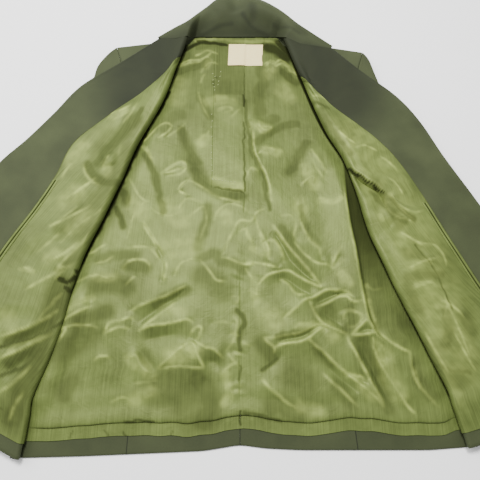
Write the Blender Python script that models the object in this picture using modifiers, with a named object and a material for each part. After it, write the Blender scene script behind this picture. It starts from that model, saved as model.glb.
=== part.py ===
"""Lady's blazer, laid open on its back on a table with the lining up.

Units are metres, +Z is up. While the pieces are made, x = 0 is the centre back, y = 0 the
middle of the back hem and z = 0 the table; the collar points to +Y. At the end the whole
garment is moved so that the origin is the middle of its underside.

"Right" and "left" are the wearer's sides: the right front lies at -X, the left one at +X.
Each front starts at the side seam, lies over the back with its outer side up, rolls over
along a line from the neck to the hem, and then lies open over the sleeve, lining up.
Every cloth is one open surface, the middle of its wall, that a Solidify modifier thickens.
What lies on another cloth is made from that cloth's points, moved out along its normals.
"""

import bmesh
import bpy
import numpy as np

MM = 0.001

# Walls and the air between them
OUTER_WALL = 1.2 * MM
LINING_WALL = 1.0 * MM
SEAM_GAP = 0.3 * MM
LINING_OVER_OUTER = 1.5 * MM      # from the middle of one wall to the middle of the next
OUTER_OVER_OUTER = 1.6 * MM

# Hem
HEM_TURN_UP = 38 * MM             # outer cloth folded up inside
HEM_FOLD = 1.3 * MM               # the cloth starts to turn this far above its lower edge
BACK_HEM_Z = 2.5                  # mm: middle of the turned-up cloth over the back
LINING_HEM = 18 * MM              # the lining's edge lies this far above the hem
JUMP_PLEAT_HEIGHT = 2.2 * MM      # the lining's spare length stands up as a soft step
JUMP_PLEAT_AT = 35 * MM
JUMP_PLEAT_STEP = 1 * MM
JUMP_PLEAT_FADE = 45 * MM

# Back lining
BACK_LINING_Z = 2.7 * MM          # middle of the wall over the back
BACK_LINING_OVER_HEM = 1.4 * MM   # added where it lies over the turned-up hem
PLEAT_FOLD_X = -41.5 * MM         # fold of the centre-back pleat
PLEAT_STEP = 1.2 * MM
PLEAT_FROM_Y, PLEAT_TO_Y = 0.352, 0.600
LINING_SEAM_X = 7 * MM            # the lining's centre seam beside the pleat
LINING_SIDE_INSET = 3.2 * MM
SIDE_RISE = 1.0 * MM              # its side edge comes up to meet the lining of the front
SIDE_RISE_WIDTH = 12 * MM
HEM_SETTLE = 20 * MM              # above the turned-up cloth it comes down within this
OPEN_FADE = 22 * MM               # folds fade out this far inside the rolls of the fronts
FOLDS_FADE = 32 * MM              # and this far below the neck and above the hem
LINING_NECK_INSET = 2 * MM

NECK_Y = 0.630
NECK_CURVE = 14 * MM              # the neck line curves down to the shoulder within this
COLLAR_SEAM_GAP = 0.6 * MM
COLLAR_SECTIONS = 21
COLLAR_LAYERS = 2.0 * MM          # from the upper collar's wall to the under collar's
PRINCESS_SHARE = 0.5              # the side-back seam runs halfway to the side

LABEL_BOX = dict(left=-0.018, right=0.0376, low=0.570, high=0.612)
LABEL_WALL = 1.0 * MM
WELT_WIDTH = 7 * MM
WELT_WALL = 1.0 * MM
WELT_SECTIONS = (3.1, 5.85)       # from and to these sections of the front
WELT_SHARES = (0.35, 0.85, 1.35)  # its width, measured from the facing seam
BUTTON_RADIUS = 11 * MM
BUTTON_THICK = 2.6 * MM
BUTTON_INSET = 17 * MM
BUTTON_SIDES = 24
BUTTON_ROWS = (("button_upper", 4.2), ("button_lower", 1.8))

# The lower edge of the back, from one side seam to the other
HEM_LINE_COLUMNS = ("x", "y")
HEM_LINE = (
    (-0.281, -0.011), (-0.197, -0.009), (-0.120, -0.006), (-0.045, -0.003), (0.000, 0.004),
    (0.030, 0.000), (0.074, -0.002), (0.150, -0.002), (0.235, -0.002), (0.292, 0.002),
)

# One row for each section of a front, from the hem to the collar seam. The places are
# distances out from the centre back and up from the hem, in metres: side (side seam, then
# armhole and shoulder tip), fold (the roll), seam (lining meets facing), edge (front edge).
# The heights are those of the outer cloth, in millimetres: under the roll, on top of the
# roll, at the facing seam and at the front edge.
FRONT_COLUMNS = (
    "side_x", "side_y", "fold_x", "fold_y", "seam_x", "seam_y", "edge_x", "edge_y",
    "leg_z", "fold_z", "seam_z", "edge_z",
)
RIGHT_FRONT = (
    (0.281, -0.011, 0.270, -0.012, 0.432, 0.063, 0.520, 0.105, 9.5, 13.5, 4.5, 0.9),
    (0.277, 0.055, 0.264, 0.055, 0.405, 0.115, 0.488, 0.163, 9.0, 14.0, 7.5, 0.9),
    (0.272, 0.115, 0.247, 0.115, 0.379, 0.165, 0.456, 0.222, 7.5, 14.5, 9.0, 1.2),
    (0.266, 0.175, 0.234, 0.175, 0.354, 0.215, 0.424, 0.280, 7.0, 15.0, 9.0, 1.8),
    (0.259, 0.235, 0.220, 0.235, 0.330, 0.262, 0.392, 0.335, 7.0, 16.0, 9.0, 3.5),
    (0.253, 0.295, 0.197, 0.300, 0.296, 0.320, 0.360, 0.391, 7.0, 17.0, 9.5, 5.5),
    (0.249, 0.352, 0.176, 0.360, 0.271, 0.370, 0.321, 0.432, 7.0, 17.0, 10.0, 9.0),
    (0.246, 0.408, 0.152, 0.430, 0.249, 0.425, 0.285, 0.475, 7.5, 18.0, 12.0, 12.0),
    (0.198, 0.455, 0.122, 0.500, 0.198, 0.473, 0.247, 0.523, 9.0, 19.0, 14.0, 15.0),
    (0.180, 0.520, 0.104, 0.560, 0.118, 0.545, 0.188, 0.566, 11.0, 19.0, 16.0, 17.0),
    (0.200, 0.600, 0.087, 0.616, 0.104, 0.612, 0.129, 0.613, 12.0, 19.0, 18.0, 17.0),
)
LEFT_FRONT = (
    (0.292, 0.002, 0.281, 0.001, 0.413, 0.037, 0.500, 0.068, 9.5, 13.5, 5.5, 4.4),
    (0.283, 0.062, 0.268, 0.060, 0.388, 0.086, 0.464, 0.127, 9.0, 14.0, 7.5, 4.4),
    (0.274, 0.120, 0.246, 0.118, 0.363, 0.136, 0.431, 0.182, 7.5, 14.5, 9.0, 4.4),
    (0.266, 0.175, 0.224, 0.172, 0.338, 0.186, 0.398, 0.236, 7.0, 15.0, 9.0, 4.4),
    (0.259, 0.230, 0.204, 0.225, 0.316, 0.230, 0.365, 0.290, 7.0, 16.0, 9.0, 4.8),
    (0.253, 0.285, 0.184, 0.280, 0.291, 0.282, 0.336, 0.343, 7.0, 17.0, 9.5, 6.5),
    (0.249, 0.345, 0.172, 0.340, 0.267, 0.333, 0.303, 0.402, 7.0, 17.0, 10.0, 9.5),
    (0.246, 0.405, 0.156, 0.395, 0.239, 0.385, 0.274, 0.460, 7.5, 18.0, 12.0, 12.0),
    (0.197, 0.455, 0.128, 0.450, 0.203, 0.433, 0.241, 0.504, 9.0, 19.0, 14.0, 15.0),
    (0.180, 0.515, 0.103, 0.520, 0.119, 0.512, 0.190, 0.549, 11.0, 19.0, 16.0, 17.0),
    (0.198, 0.590, 0.074, 0.613, 0.098, 0.601, 0.148, 0.592, 12.0, 19.0, 18.0, 17.0),
)

# One row for each section of a sleeve, from the armhole to the cuff: its inner and outer
# edge, out from the centre back and up from the hem, its height in millimetres, and how
# far the section still follows the curve of the armhole.
SLEEVE_COLUMNS = ("inner_x", "inner_y", "outer_x", "outer_y", "height", "bow")
RIGHT_SLEEVE = (
    (0.2463, 0.408, 0.2003, 0.600, 11.0, 1.0),
    (0.252, 0.392, 0.213, 0.588, 9.5, 0.8),
    (0.253, 0.375, 0.228, 0.566, 8.0, 0.5),
    (0.254, 0.350, 0.236, 0.538, 7.0, 0.2),
    (0.256, 0.315, 0.262, 0.503, 6.0, 0.0),
    (0.259, 0.270, 0.300, 0.420, 5.2, 0.0),
    (0.266, 0.220, 0.338, 0.350, 5.2, 0.0),
    (0.277, 0.170, 0.372, 0.287, 5.2, 0.0),
    (0.294, 0.125, 0.404, 0.226, 5.0, 0.0),
    (0.312, 0.095, 0.430, 0.178, 4.8, 0.0),
    (0.328, 0.078, 0.450, 0.135, 4.6, 0.0),
)
LEFT_SLEEVE = (
    (0.2463, 0.405, 0.1983, 0.590, 11.0, 1.0),
    (0.252, 0.388, 0.207, 0.577, 9.5, 0.8),
    (0.253, 0.370, 0.215, 0.550, 8.0, 0.5),
    (0.254, 0.345, 0.224, 0.522, 7.0, 0.2),
    (0.256, 0.305, 0.243, 0.470, 6.0, 0.0),
    (0.259, 0.258, 0.273, 0.400, 5.2, 0.0),
    (0.266, 0.210, 0.303, 0.338, 5.2, 0.0),
    (0.276, 0.165, 0.333, 0.282, 5.2, 0.0),
    (0.290, 0.120, 0.362, 0.228, 5.0, 0.0),
    (0.304, 0.090, 0.388, 0.178, 4.8, 0.0),
    (0.318, 0.070, 0.412, 0.132, 4.6, 0.0),
)

# One row for each section of the collar, from its end on the right lapel to its end on the
# left one: where it leaves the seam that joins it to the garment, its outer edge in metres,
# and the heights of that edge and of the roll before it in millimetres.
COLLAR_COLUMNS = ("seam_x", "edge_x", "edge_y", "edge_z", "roll_z")
COLLAR = (
    (-0.1290, -0.133, 0.617, 17.0, 0.5),
    (-0.1130, -0.108, 0.632, 20.0, 1.0),
    (-0.0960, -0.086, 0.645, 22.0, 2.5),
    (-0.0820, -0.070, 0.659, 23.0, 5.0),
    (-0.0680, -0.055, 0.672, 24.0, 9.0),
    (-0.0420, -0.036, 0.690, 24.0, 14.0),
    (-0.0120, -0.010, 0.700, 22.0, 15.0),
    (0.0160, 0.015, 0.696, 23.0, 16.0),
    (0.0380, 0.041, 0.683, 25.0, 15.0),
    (0.0560, 0.067, 0.664, 25.0, 11.0),
    (0.0700, 0.091, 0.641, 24.0, 6.0),
    (0.0890, 0.114, 0.623, 22.0, 3.0),
    (0.1160, 0.135, 0.608, 19.5, 1.5),
    (0.1460, 0.149, 0.599, 17.5, 0.5),
)

# The largest folds of the lining over the back: each runs from one point to another, with
# its height and its half width in millimetres.
FOLD_COLUMNS = ("from_x", "from_y", "to_x", "to_y", "height", "half_width")
BACK_FOLDS = (
    (0.012, 0.450, 0.036, 0.366, 6.0, 17.0),
    (0.040, 0.340, 0.050, 0.285, 6.5, 18.0),
    (0.060, 0.270, 0.111, 0.203, 7.5, 20.0),
    (0.023, 0.205, 0.064, 0.228, 5.0, 17.0),
    (0.090, 0.186, 0.150, 0.196, 6.0, 17.0),
    (0.040, 0.128, 0.113, 0.151, 6.0, 17.0),
    (0.114, 0.112, 0.180, 0.052, 7.5, 20.0),
    (0.040, 0.075, 0.110, 0.040, 5.0, 17.0),
    (0.150, 0.142, 0.200, 0.126, 6.0, 17.0),
    (0.062, 0.560, 0.096, 0.540, 6.0, 18.0),
    (0.050, 0.480, 0.085, 0.400, 4.5, 19.0),
    (-0.100, 0.565, -0.060, 0.583, 6.0, 17.0),
    (-0.090, 0.520, -0.070, 0.430, 4.5, 19.0),
    (-0.131, 0.329, -0.100, 0.304, 6.0, 17.0),
    (-0.139, 0.300, -0.108, 0.212, 7.0, 20.0),
    (-0.160, 0.286, -0.175, 0.320, 5.0, 17.0),
    (-0.143, 0.165, -0.074, 0.198, 7.0, 19.0),
    (-0.111, 0.093, -0.059, 0.128, 6.0, 18.0),
    (-0.054, 0.128, -0.017, 0.112, 5.0, 16.0),
    (-0.055, 0.250, -0.022, 0.245, 5.0, 17.0),
    (-0.212, 0.070, -0.170, 0.140, 5.0, 18.0),
)
# The same for the linings of the open fronts, out from the centre back.
RIGHT_FLAP_FOLDS = (
    (0.292, 0.249, 0.235, 0.280, 5.0, 18.0),
    (0.257, 0.222, 0.300, 0.180, 5.0, 18.0),
    (0.315, 0.124, 0.270, 0.135, 4.5, 18.0),
    (0.215, 0.400, 0.180, 0.450, 4.0, 18.0),
    (0.350, 0.120, 0.330, 0.070, 4.0, 18.0),
)
LEFT_FLAP_FOLDS = (
    (0.205, 0.330, 0.252, 0.300, 6.5, 18.0),
    (0.200, 0.390, 0.236, 0.372, 5.0, 18.0),
    (0.243, 0.273, 0.266, 0.235, 5.0, 18.0),
    (0.270, 0.213, 0.288, 0.165, 5.0, 18.0),
    (0.290, 0.138, 0.302, 0.085, 5.0, 18.0),
)

# Where a front is cut into sections: more of them near the hem
ARMHOLE_SECTIONS = (7.0, 7.35, 7.7, 8.2, 8.8, 9.4, 10.0)
FRONT_SECTIONS = (0.0, 0.3, 0.7, 1.2, 1.8, 2.4, 3.0, 3.6, 4.2, 4.8, 5.4, 6.0, 6.5) + ARMHOLE_SECTIONS
LINING_SECTIONS = (0.25, *FRONT_SECTIONS[2:])     # the first row is the lining's lower edge
BACK_SECTIONS = (1.2, 2.4, 3.6, 4.8, 6.0) + ARMHOLE_SECTIONS
BESIDE_WELT = 0.3                 # folds are this much lower beside the facing seam
HEM_RETURN = 1.9 * MM             # the turned-up cloth lies this far from the cloth it covers
HEM_LIFT_AFTER = 12 * MM
HEM_RETURN_ROWS = ((1.00, 1.0), (0.68, 1.0), (0.36, 1.0), (0.045, 1.0), (0.014, 0.5))
# Outer end of a front's part over the back: mm out at the side seam, where it turns down to
# the back, mm out along the armhole, where it stays level, and share of the height
SIDE_TURN = ((0.9, -0.3, 0.0), (0.9, -1.2, 0.45), (-0.6, -2.1, 0.85), (-3.0, -3.0, 1.0))
LEG_SHARES = (0.35, 0.75)
ROLL_ANGLES = (-90, -45, 0, 45, 90)
FLAP_SHARES = (0.22, 0.45, 0.70)
FACING_SHARES = (0.35, 0.65, 0.85, 1.0)
FIRST_LEG = len(SIDE_TURN) - 1                                   # lining starts at this column
SEAM_COLUMN = len(SIDE_TURN) + len(LEG_SHARES) + len(ROLL_ANGLES) + len(FLAP_SHARES)
EDGE_DROP_POWER = 4               # the flap keeps its height over the sleeve, then drops
UNDERARM_ROW = 7
ARMHOLE_GAP = 1.7 * MM            # from the armhole to the middle of the sleeve's wall
BODY_GAP = 3.4 * MM               # the same beside the side seam
SLEEVE_RINGS = 16
BODY_STEPS = (-0.014, -0.007, 0.0, 0.007, 0.014)
SHOULDER_DROP = (0.5, 0.9, 0.9)   # mm past the shoulder line, one for each row of the turn
SHOULDER_SHARE = (0.85, 0.45, 0.0)
SHOULDER_LOW_Z = 0.9 * MM

OUTER_GREEN = (0.135, 0.155, 0.090)
LINING_GREEN = (0.330, 0.390, 0.150)
LABEL_CREAM = (0.840, 0.760, 0.580)
BUTTON_GREEN = (0.075, 0.085, 0.050)


def columns(table, names):
    """A table's columns as arrays, by name."""
    values = np.array(table, float)
    return {name: values[:, i] for i, name in enumerate(names)}


def smooth_at(values, places):
    """A smooth curve through equally spaced values, read at fractional row numbers."""
    places = np.asarray(places, float)
    row = np.clip(places.astype(int), 0, len(values) - 2)
    t = places - row
    before = values[np.maximum(row - 1, 0)]
    start = values[row]
    end = values[row + 1]
    after = values[np.minimum(row + 2, len(values) - 1)]
    return start + 0.5 * t * (
        end - before
        + t * (2 * before - 5 * start + 4 * end - after + t * (3 * (start - end) + after - before))
    )


def ease(value):
    """0 to 1 with a soft start and end."""
    value = np.clip(value, 0.0, 1.0)
    return value * value * (3 - 2 * value)


def folds_height(x, y, folds):
    """How far the folds of a table lift a cloth at each point, in metres."""
    total = np.zeros(np.shape(x))
    for from_x, from_y, to_x, to_y, height, half_width in folds:
        run_x, run_y = to_x - from_x, to_y - from_y
        share = ((x - from_x) * run_x + (y - from_y) * run_y) / (run_x**2 + run_y**2)
        share = np.clip(share, 0, 1)
        away = np.hypot(x - from_x - share * run_x, y - from_y - share * run_y)
        lift = height * MM * (1 - ease(away / (half_width * MM)))
        total = np.maximum(total, lift)
    return total


# ---------------------------------------------------------------- meshes

def material(name, colour, roughness, sheen=0.0):
    made = bpy.data.materials.new(name)
    made.use_nodes = True
    shader = made.node_tree.nodes["Principled BSDF"]
    shader.inputs["Base Color"].default_value = (*colour, 1)
    shader.inputs["Roughness"].default_value = roughness
    shader.inputs["Metallic"].default_value = 0.0
    shader.inputs["Sheen Weight"].default_value = sheen
    made.diffuse_color = (*colour, 1)
    return made


def add_object(name, mesh_bm, look, wall, parts, even=True):
    """Turns an open surface into a named object with a wall of this thickness."""
    mesh = bpy.data.meshes.new(name)
    mesh_bm.to_mesh(mesh)
    mesh_bm.free()
    mesh.shade_smooth()
    mesh.materials.append(look)
    made = bpy.data.objects.new(name, mesh)
    parts.objects.link(made)
    solidify = made.modifiers.new("wall", "SOLIDIFY")
    solidify.thickness = wall
    solidify.offset = 0
    solidify.use_even_offset = even
    return made


def sheet(name, points, look, wall, parts):
    """A cloth from rows of points. Points that are NaN are left out of the grid."""
    rows, across = points.shape[:2]
    made = bmesh.new()
    bmesh.ops.create_grid(made, x_segments=across - 1, y_segments=rows - 1, size=0.5)
    flat = points.reshape(-1, 3)
    gone = []
    for vertex, place in zip(list(made.verts), flat):
        if np.isnan(place[0]):
            gone.append(vertex)
        else:
            vertex.co = place
    bmesh.ops.delete(made, geom=gone, context="VERTS")
    return add_object(name, made, look, wall, parts)


def tube(name, rings, look, wall, parts):
    """An open-ended cloth tube through rings of points."""
    count, around = rings.shape[:2]
    made = bmesh.new()
    vertices = [[made.verts.new(place) for place in ring] for ring in rings]
    for i in range(count - 1):
        for j in range(around):
            after = (j + 1) % around
            quad = (vertices[i][j], vertices[i][after], vertices[i + 1][after], vertices[i + 1][j])
            made.faces.new(quad)
    bmesh.ops.recalc_face_normals(made, faces=made.faces[:])
    return add_object(name, made, look, wall, parts, even=False)


def normals_of(points, side):
    """Normals of a grid of points, on the side where a front's lining lies."""
    across = np.gradient(points, axis=1)
    along = np.gradient(points, axis=0)
    normal = np.cross(across, along) * side
    return normal / np.linalg.norm(normal, axis=2, keepdims=True)


# ---------------------------------------------------------------- the back

def side_at(front, y):
    """Distance of the side seam, armhole or shoulder tip from the centre back."""
    front = columns(front, FRONT_COLUMNS)
    places = np.linspace(0, len(front["side_y"]) - 1, 101)
    return np.interp(y, smooth_at(front["side_y"], places), smooth_at(front["side_x"], places))


def hem_at(x):
    line = columns(HEM_LINE, HEM_LINE_COLUMNS)
    return np.interp(x, line["x"], line["y"])


def top_at(x, front):
    """The neck and shoulder line of the back."""
    tip_x, tip_y, point_x, point_y = front[-1][:4]
    slope = (point_y - tip_y) / (tip_x - point_x)
    shoulder = tip_y + slope * (tip_x - np.maximum(np.abs(x), point_x))
    return shoulder + (NECK_Y - shoulder) * ease((point_x - np.abs(x)) / NECK_CURVE)


def up_the_back(x, share_up, front):
    low, high = hem_at(x), top_at(x, front)
    return low + share_up * (high - low)


def back_place(side, share_out, share_up, front):
    """A point of the back: how far out to the side, and how far up from the hem."""
    edge_y = front[0][1] + share_up * (front[-1][1] - front[0][1])
    edge_x = side * side_at(front, edge_y)
    to_edge = edge_y - up_the_back(edge_x, share_up, front)
    x = share_out * edge_x
    return x, up_the_back(x, share_up, front) + to_edge * share_out**2


def back_panel(name, side, from_share, to_share, front, look, parts):
    """Outer cloth of the back, flat on the table, with its hem turned up."""
    shares = np.linspace(from_share, to_share, 5)
    low_z = 0.5 * OUTER_WALL / MM
    turn = (
        (HEM_TURN_UP, BACK_HEM_Z),
        (HEM_FOLD, BACK_HEM_Z),
        (0.45 * HEM_FOLD, 0.5 * (low_z + BACK_HEM_Z)),
        (HEM_FOLD, low_z),
    )
    ups = [(up / NECK_Y, z) for up, z in turn]
    side_y = smooth_at(columns(front, FRONT_COLUMNS)["side_y"], BACK_SECTIONS)
    ups += [((y - front[0][1]) / (front[-1][1] - front[0][1]), low_z) for y in side_y]
    points = np.zeros((len(ups), len(shares), 3))
    for i, (up, z) in enumerate(ups):
        for j, share in enumerate(shares):
            x, y = back_place(side, share, up, front)
            inset = 0.5 * SEAM_GAP * ((j == 0) - (j == len(shares) - 1))
            points[i, j] = (x + side * inset, y, z * MM)
    return sheet(name, points, look, OUTER_WALL, parts)


def back_lining_height(x, y, side, front, fold_line):
    """Height of the middle of the back lining's wall."""
    y_up = y - hem_at(x)
    z = BACK_LINING_Z + BACK_LINING_OVER_HEM * (1 - ease((y_up - HEM_TURN_UP) / HEM_SETTLE))
    open_part = ease((fold_line - side * x) / OPEN_FADE)
    pleat = ease((y_up - JUMP_PLEAT_AT + JUMP_PLEAT_STEP) / (2 * JUMP_PLEAT_STEP))
    pleat = pleat * (1 - ease((y_up - JUMP_PLEAT_AT) / JUMP_PLEAT_FADE))
    z = z + JUMP_PLEAT_HEIGHT * pleat * open_part
    above_hem = ease((y_up - HEM_TURN_UP) / FOLDS_FADE)
    below_neck = ease((NECK_Y - y) / FOLDS_FADE)
    z = z + folds_height(x, y, BACK_FOLDS) * open_part * above_hem * below_neck
    near_side = ease(1 - (side_at(front, y) - side * x) / SIDE_RISE_WIDTH)
    above_hem = ease((y_up - HEM_TURN_UP - FOLDS_FADE) / FOLDS_FADE)
    return z + SIDE_RISE * near_side * (1 - open_part) * above_hem


def pleat_lift(x, y):
    return PLEAT_STEP * ((x > PLEAT_FOLD_X) & (y > PLEAT_FROM_Y) & (y < PLEAT_TO_Y))


def lining_seam_x(y):
    """The lining's centre seam leaves the middle and runs beside the pleat."""
    return LINING_SEAM_X * ease((y - 0.20) / 0.15)


def fold_line_at(front, y):
    front = columns(front, FRONT_COLUMNS)
    places = np.linspace(0, len(front["fold_y"]) - 1, 101)
    return np.interp(y, smooth_at(front["fold_y"], places), smooth_at(front["fold_x"], places))


def back_lining(name, side, front, look, parts):
    """One half of the lining over the back. The right half carries the centre pleat."""
    step = 1.5 * JUMP_PLEAT_STEP
    ups = (LINING_HEM, 26 * MM, JUMP_PLEAT_AT - step, JUMP_PLEAT_AT + step, 50 * MM)
    ups = [up / NECK_Y for up in ups]
    ups += list(np.linspace(68 * MM, NECK_Y - LINING_NECK_INSET, 27) / NECK_Y)
    if side < 0:
        inner = [-20 * MM, PLEAT_FOLD_X + 1 * MM, PLEAT_FOLD_X - 1 * MM]
        outward = np.linspace(0, 1, 11)[1:]
    else:
        inner = []
        outward = np.linspace(0, 1, 13)[1:]
    points = np.zeros((len(ups), 1 + len(inner) + len(outward), 3))
    for i, up in enumerate(ups):
        edge_y = front[0][1] + up * (front[-1][1] - front[0][1])
        outer = side * (side_at(front, edge_y) - LINING_SIDE_INSET)
        first = lining_seam_x(up * NECK_Y) + side * 0.5 * SEAM_GAP
        start = inner[-1] if inner else first
        across = [first, *inner, *(start + share * (outer - start) for share in outward)]
        for j, x in enumerate(across):
            y = back_place(side, x / (side * side_at(front, edge_y)), up, front)[1]
            z = back_lining_height(x, y, side, front, fold_line_at(front, y))
            if side < 0:
                z += pleat_lift(x, y)
            points[i, j] = (x, y, z)
    return sheet(name, points, look, LINING_WALL, parts)


def neck_label(look, parts):
    """The sewn-in label, made from the lining's heights and moved out."""
    box = LABEL_BOX
    across = (box["left"], -0.006, LINING_SEAM_X + 1.2 * MM, LINING_SEAM_X + 3.2 * MM, box["right"])
    up = np.linspace(box["low"], box["high"], 3)
    lift = 0.5 * (LINING_WALL + LABEL_WALL) + SEAM_GAP + 0.2 * MM
    points = np.zeros((len(up), len(across), 3))
    for i, y in enumerate(up):
        for j, x in enumerate(across):
            over_pleat = PLEAT_STEP * (x < LINING_SEAM_X + 2 * MM)
            points[i, j] = (x, y, BACK_LINING_Z + over_pleat + lift)
    return sheet("label", points, look, LABEL_WALL, parts)


# ---------------------------------------------------------------- the fronts

def front_sections(front):
    table = columns(front, FRONT_COLUMNS)
    return {name: smooth_at(values, FRONT_SECTIONS) for name, values in table.items()}


def front_points(side, front):
    """Middle of the outer cloth of a front: a grid of sections by columns from side to edge."""
    at = front_sections(front)
    points = []
    for i, section in enumerate(FRONT_SECTIONS):
        side_xy = np.array((at["side_x"][i], at["side_y"][i]))
        fold_xy = np.array((at["fold_x"][i], at["fold_y"][i]))
        seam_xy = np.array((at["seam_x"][i], at["seam_y"][i]))
        edge_xy = np.array((at["edge_x"][i], at["edge_y"][i]))
        leg_z, fold_z = at["leg_z"][i] * MM, at["fold_z"][i] * MM
        seam_z, edge_z = at["seam_z"][i] * MM, at["edge_z"][i] * MM
        inward = (fold_xy - side_xy) / np.linalg.norm(fold_xy - side_xy)
        outward = (seam_xy - fold_xy) / np.linalg.norm(seam_xy - fold_xy)
        drop = 1 - ease((section - UNDERARM_ROW + 0.6) / 0.6)
        roll = 0.5 * (fold_z - leg_z)
        row = []
        for seam_out, hole_out, share in SIDE_TURN:
            out = hole_out + (seam_out - hole_out) * drop
            low_z = 0.7 * MM * drop + leg_z * (1 - drop)
            row.append((*(side_xy - inward * out * MM), low_z + (leg_z - low_z) * share))
        leg_start = side_xy + inward * 3 * MM
        leg_end = fold_xy - inward * roll
        for share in LEG_SHARES:
            row.append((*(leg_start + share * (leg_end - leg_start)), leg_z))
        for angle in np.radians(ROLL_ANGLES):
            turned = ease(0.5 + 0.5 * np.sin(angle))
            away = -inward * (1 - turned) + outward * turned
            place = fold_xy + away * roll * (1 - np.cos(angle))
            row.append((*place, leg_z + roll + roll * np.sin(angle)))
        roll_top = fold_xy + outward * roll
        for share in (*FLAP_SHARES, 1.0):
            height = seam_z + (fold_z - seam_z) * (1 - ease(share * 0.9) / ease(0.9))
            row.append((*(roll_top + share * (seam_xy - roll_top)), height))
        for share in FACING_SHARES:
            height = seam_z + (edge_z - seam_z) * share**EDGE_DROP_POWER
            row.append((*(seam_xy + share * (edge_xy - seam_xy)), height))
        points.append(row)
    points = np.array(points)
    points[..., 0] *= side
    return points


def up_from_hem(points):
    """Distance of each row from the hem edge, measured along the cloth."""
    steps = np.linalg.norm(np.diff(points, axis=0), axis=2)
    return np.vstack((np.zeros(points.shape[1]), np.cumsum(steps, axis=0)))


def at_height(points, ups, wanted):
    """The row of points that lies this far up from the hem."""
    row = np.zeros(points.shape[1:])
    for j in range(points.shape[1]):
        for axis in range(3):
            row[j, axis] = np.interp(wanted, ups[:, j], points[:, j, axis])
    return row


def hem_lift(ups):
    """What lies on a front is lifted more where the turned-up hem is under it."""
    return HEM_RETURN * (1 - ease((ups - HEM_TURN_UP - HEM_LIFT_AFTER) / HEM_SETTLE))


def front_outer(name, points, normals, ups, look, parts):
    """Outer cloth of a front, with the turned-up hem and the shoulder's turned edge."""
    hem_rows = []
    for share, out in HEM_RETURN_ROWS:
        up = share * HEM_TURN_UP
        row = at_height(points, ups, up) + at_height(normals, ups, up) * out * HEM_RETURN
        row[:FIRST_LEG] = np.nan
        hem_rows.append(row)
    main_rows = points.copy()
    main_rows[0, FIRST_LEG:] = at_height(points, ups, HEM_FOLD)[FIRST_LEG:]
    top = points[-1]
    shoulder_rows = []
    last_leg = FIRST_LEG + len(LEG_SHARES)
    uphill = points[-1] - points[-2]
    for past, share in zip(SHOULDER_DROP, SHOULDER_SHARE):
        row = np.full_like(top, np.nan)
        for j in range(FIRST_LEG - 1, last_leg + 1):
            direction = np.array((uphill[j, 0], uphill[j, 1])) / np.linalg.norm(uphill[j, :2])
            row[j, :2] = top[j, :2] + direction * past * MM
            row[j, 2] = SHOULDER_LOW_Z + (top[j, 2] - SHOULDER_LOW_Z) * share
        shoulder_rows.append(row)
    grid = np.array(hem_rows + list(main_rows) + shoulder_rows)
    return sheet(name, grid, look, OUTER_WALL, parts)


def front_lining(name, side, points, normals, ups, folds, look, parts):
    """Lining of a front: from the side, round the roll, to the facing seam."""
    first, last = FIRST_LEG, SEAM_COLUMN
    lift = LINING_OVER_OUTER + hem_lift(ups)
    folds_here = folds_height(side * points[..., 0], points[..., 1], folds)
    on_flap = np.zeros(points.shape[:2])
    flap_start = FIRST_LEG + 1 + len(LEG_SHARES) + len(ROLL_ANGLES)
    on_flap[:, flap_start:last] = 1.0
    on_flap[:, last - 1] = BESIDE_WELT
    cloth = points + normals * (lift + folds_here * on_flap)[..., None]
    rows = [at_height(cloth, ups, LINING_HEM)]
    rows += [cloth[i] for i in range(2, len(cloth) - 1)]
    rows.append(cloth[-1] + (cloth[-2] - cloth[-1]) * 0.04)
    whole = np.array(rows)
    cloth = whole[:, first:last + 1].copy()
    inward = cloth[:, -2] - cloth[:, -1]
    inward /= np.linalg.norm(inward, axis=1, keepdims=True)
    cloth[:, -1] += inward * 0.5 * SEAM_GAP
    sheet(name, cloth, look, LINING_WALL, parts)
    return whole


def front_facing(name, points, normals, ups, look, parts):
    """Facing and lapel: outer cloth on the open front, from the lining seam to the edge."""
    lift = OUTER_OVER_OUTER + hem_lift(ups)
    cloth = points + normals * lift[..., None]
    rows = [at_height(cloth, ups, HEM_FOLD)] + [cloth[i] for i in range(1, len(cloth))]
    cloth = np.array(rows)[:, SEAM_COLUMN:]
    outward = cloth[:, 1] - cloth[:, 0]
    outward /= np.linalg.norm(outward, axis=1, keepdims=True)
    cloth[:, 0] += outward * 0.5 * SEAM_GAP
    return sheet(name, cloth, look, OUTER_WALL, parts)


def at_section(column, section):
    """A place between the rows of one column of the lining."""
    return np.array([np.interp(section, LINING_SECTIONS, column[:, axis]) for axis in range(3)])


def pocket_welt(name, side, lining_points, look, parts):
    """The welts of an inside pocket, made from the lining beside the facing seam."""
    rows = []
    normals = normals_of(lining_points, side)
    lift = 0.5 * (LINING_WALL + WELT_WALL) + 2 * SEAM_GAP
    for section in np.linspace(*WELT_SECTIONS, 9):
        inner = at_section(lining_points[:, SEAM_COLUMN - 1], section)
        seam = at_section(lining_points[:, SEAM_COLUMN], section)
        normal = at_section(normals[:, SEAM_COLUMN], section)
        inward = (inner - seam) / np.linalg.norm(inner - seam)
        seam = seam + normal * lift
        rows.append([seam + inward * share * WELT_WIDTH for share in WELT_SHARES])
    return sheet(name, np.array(rows), look, WELT_WALL, parts)


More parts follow.
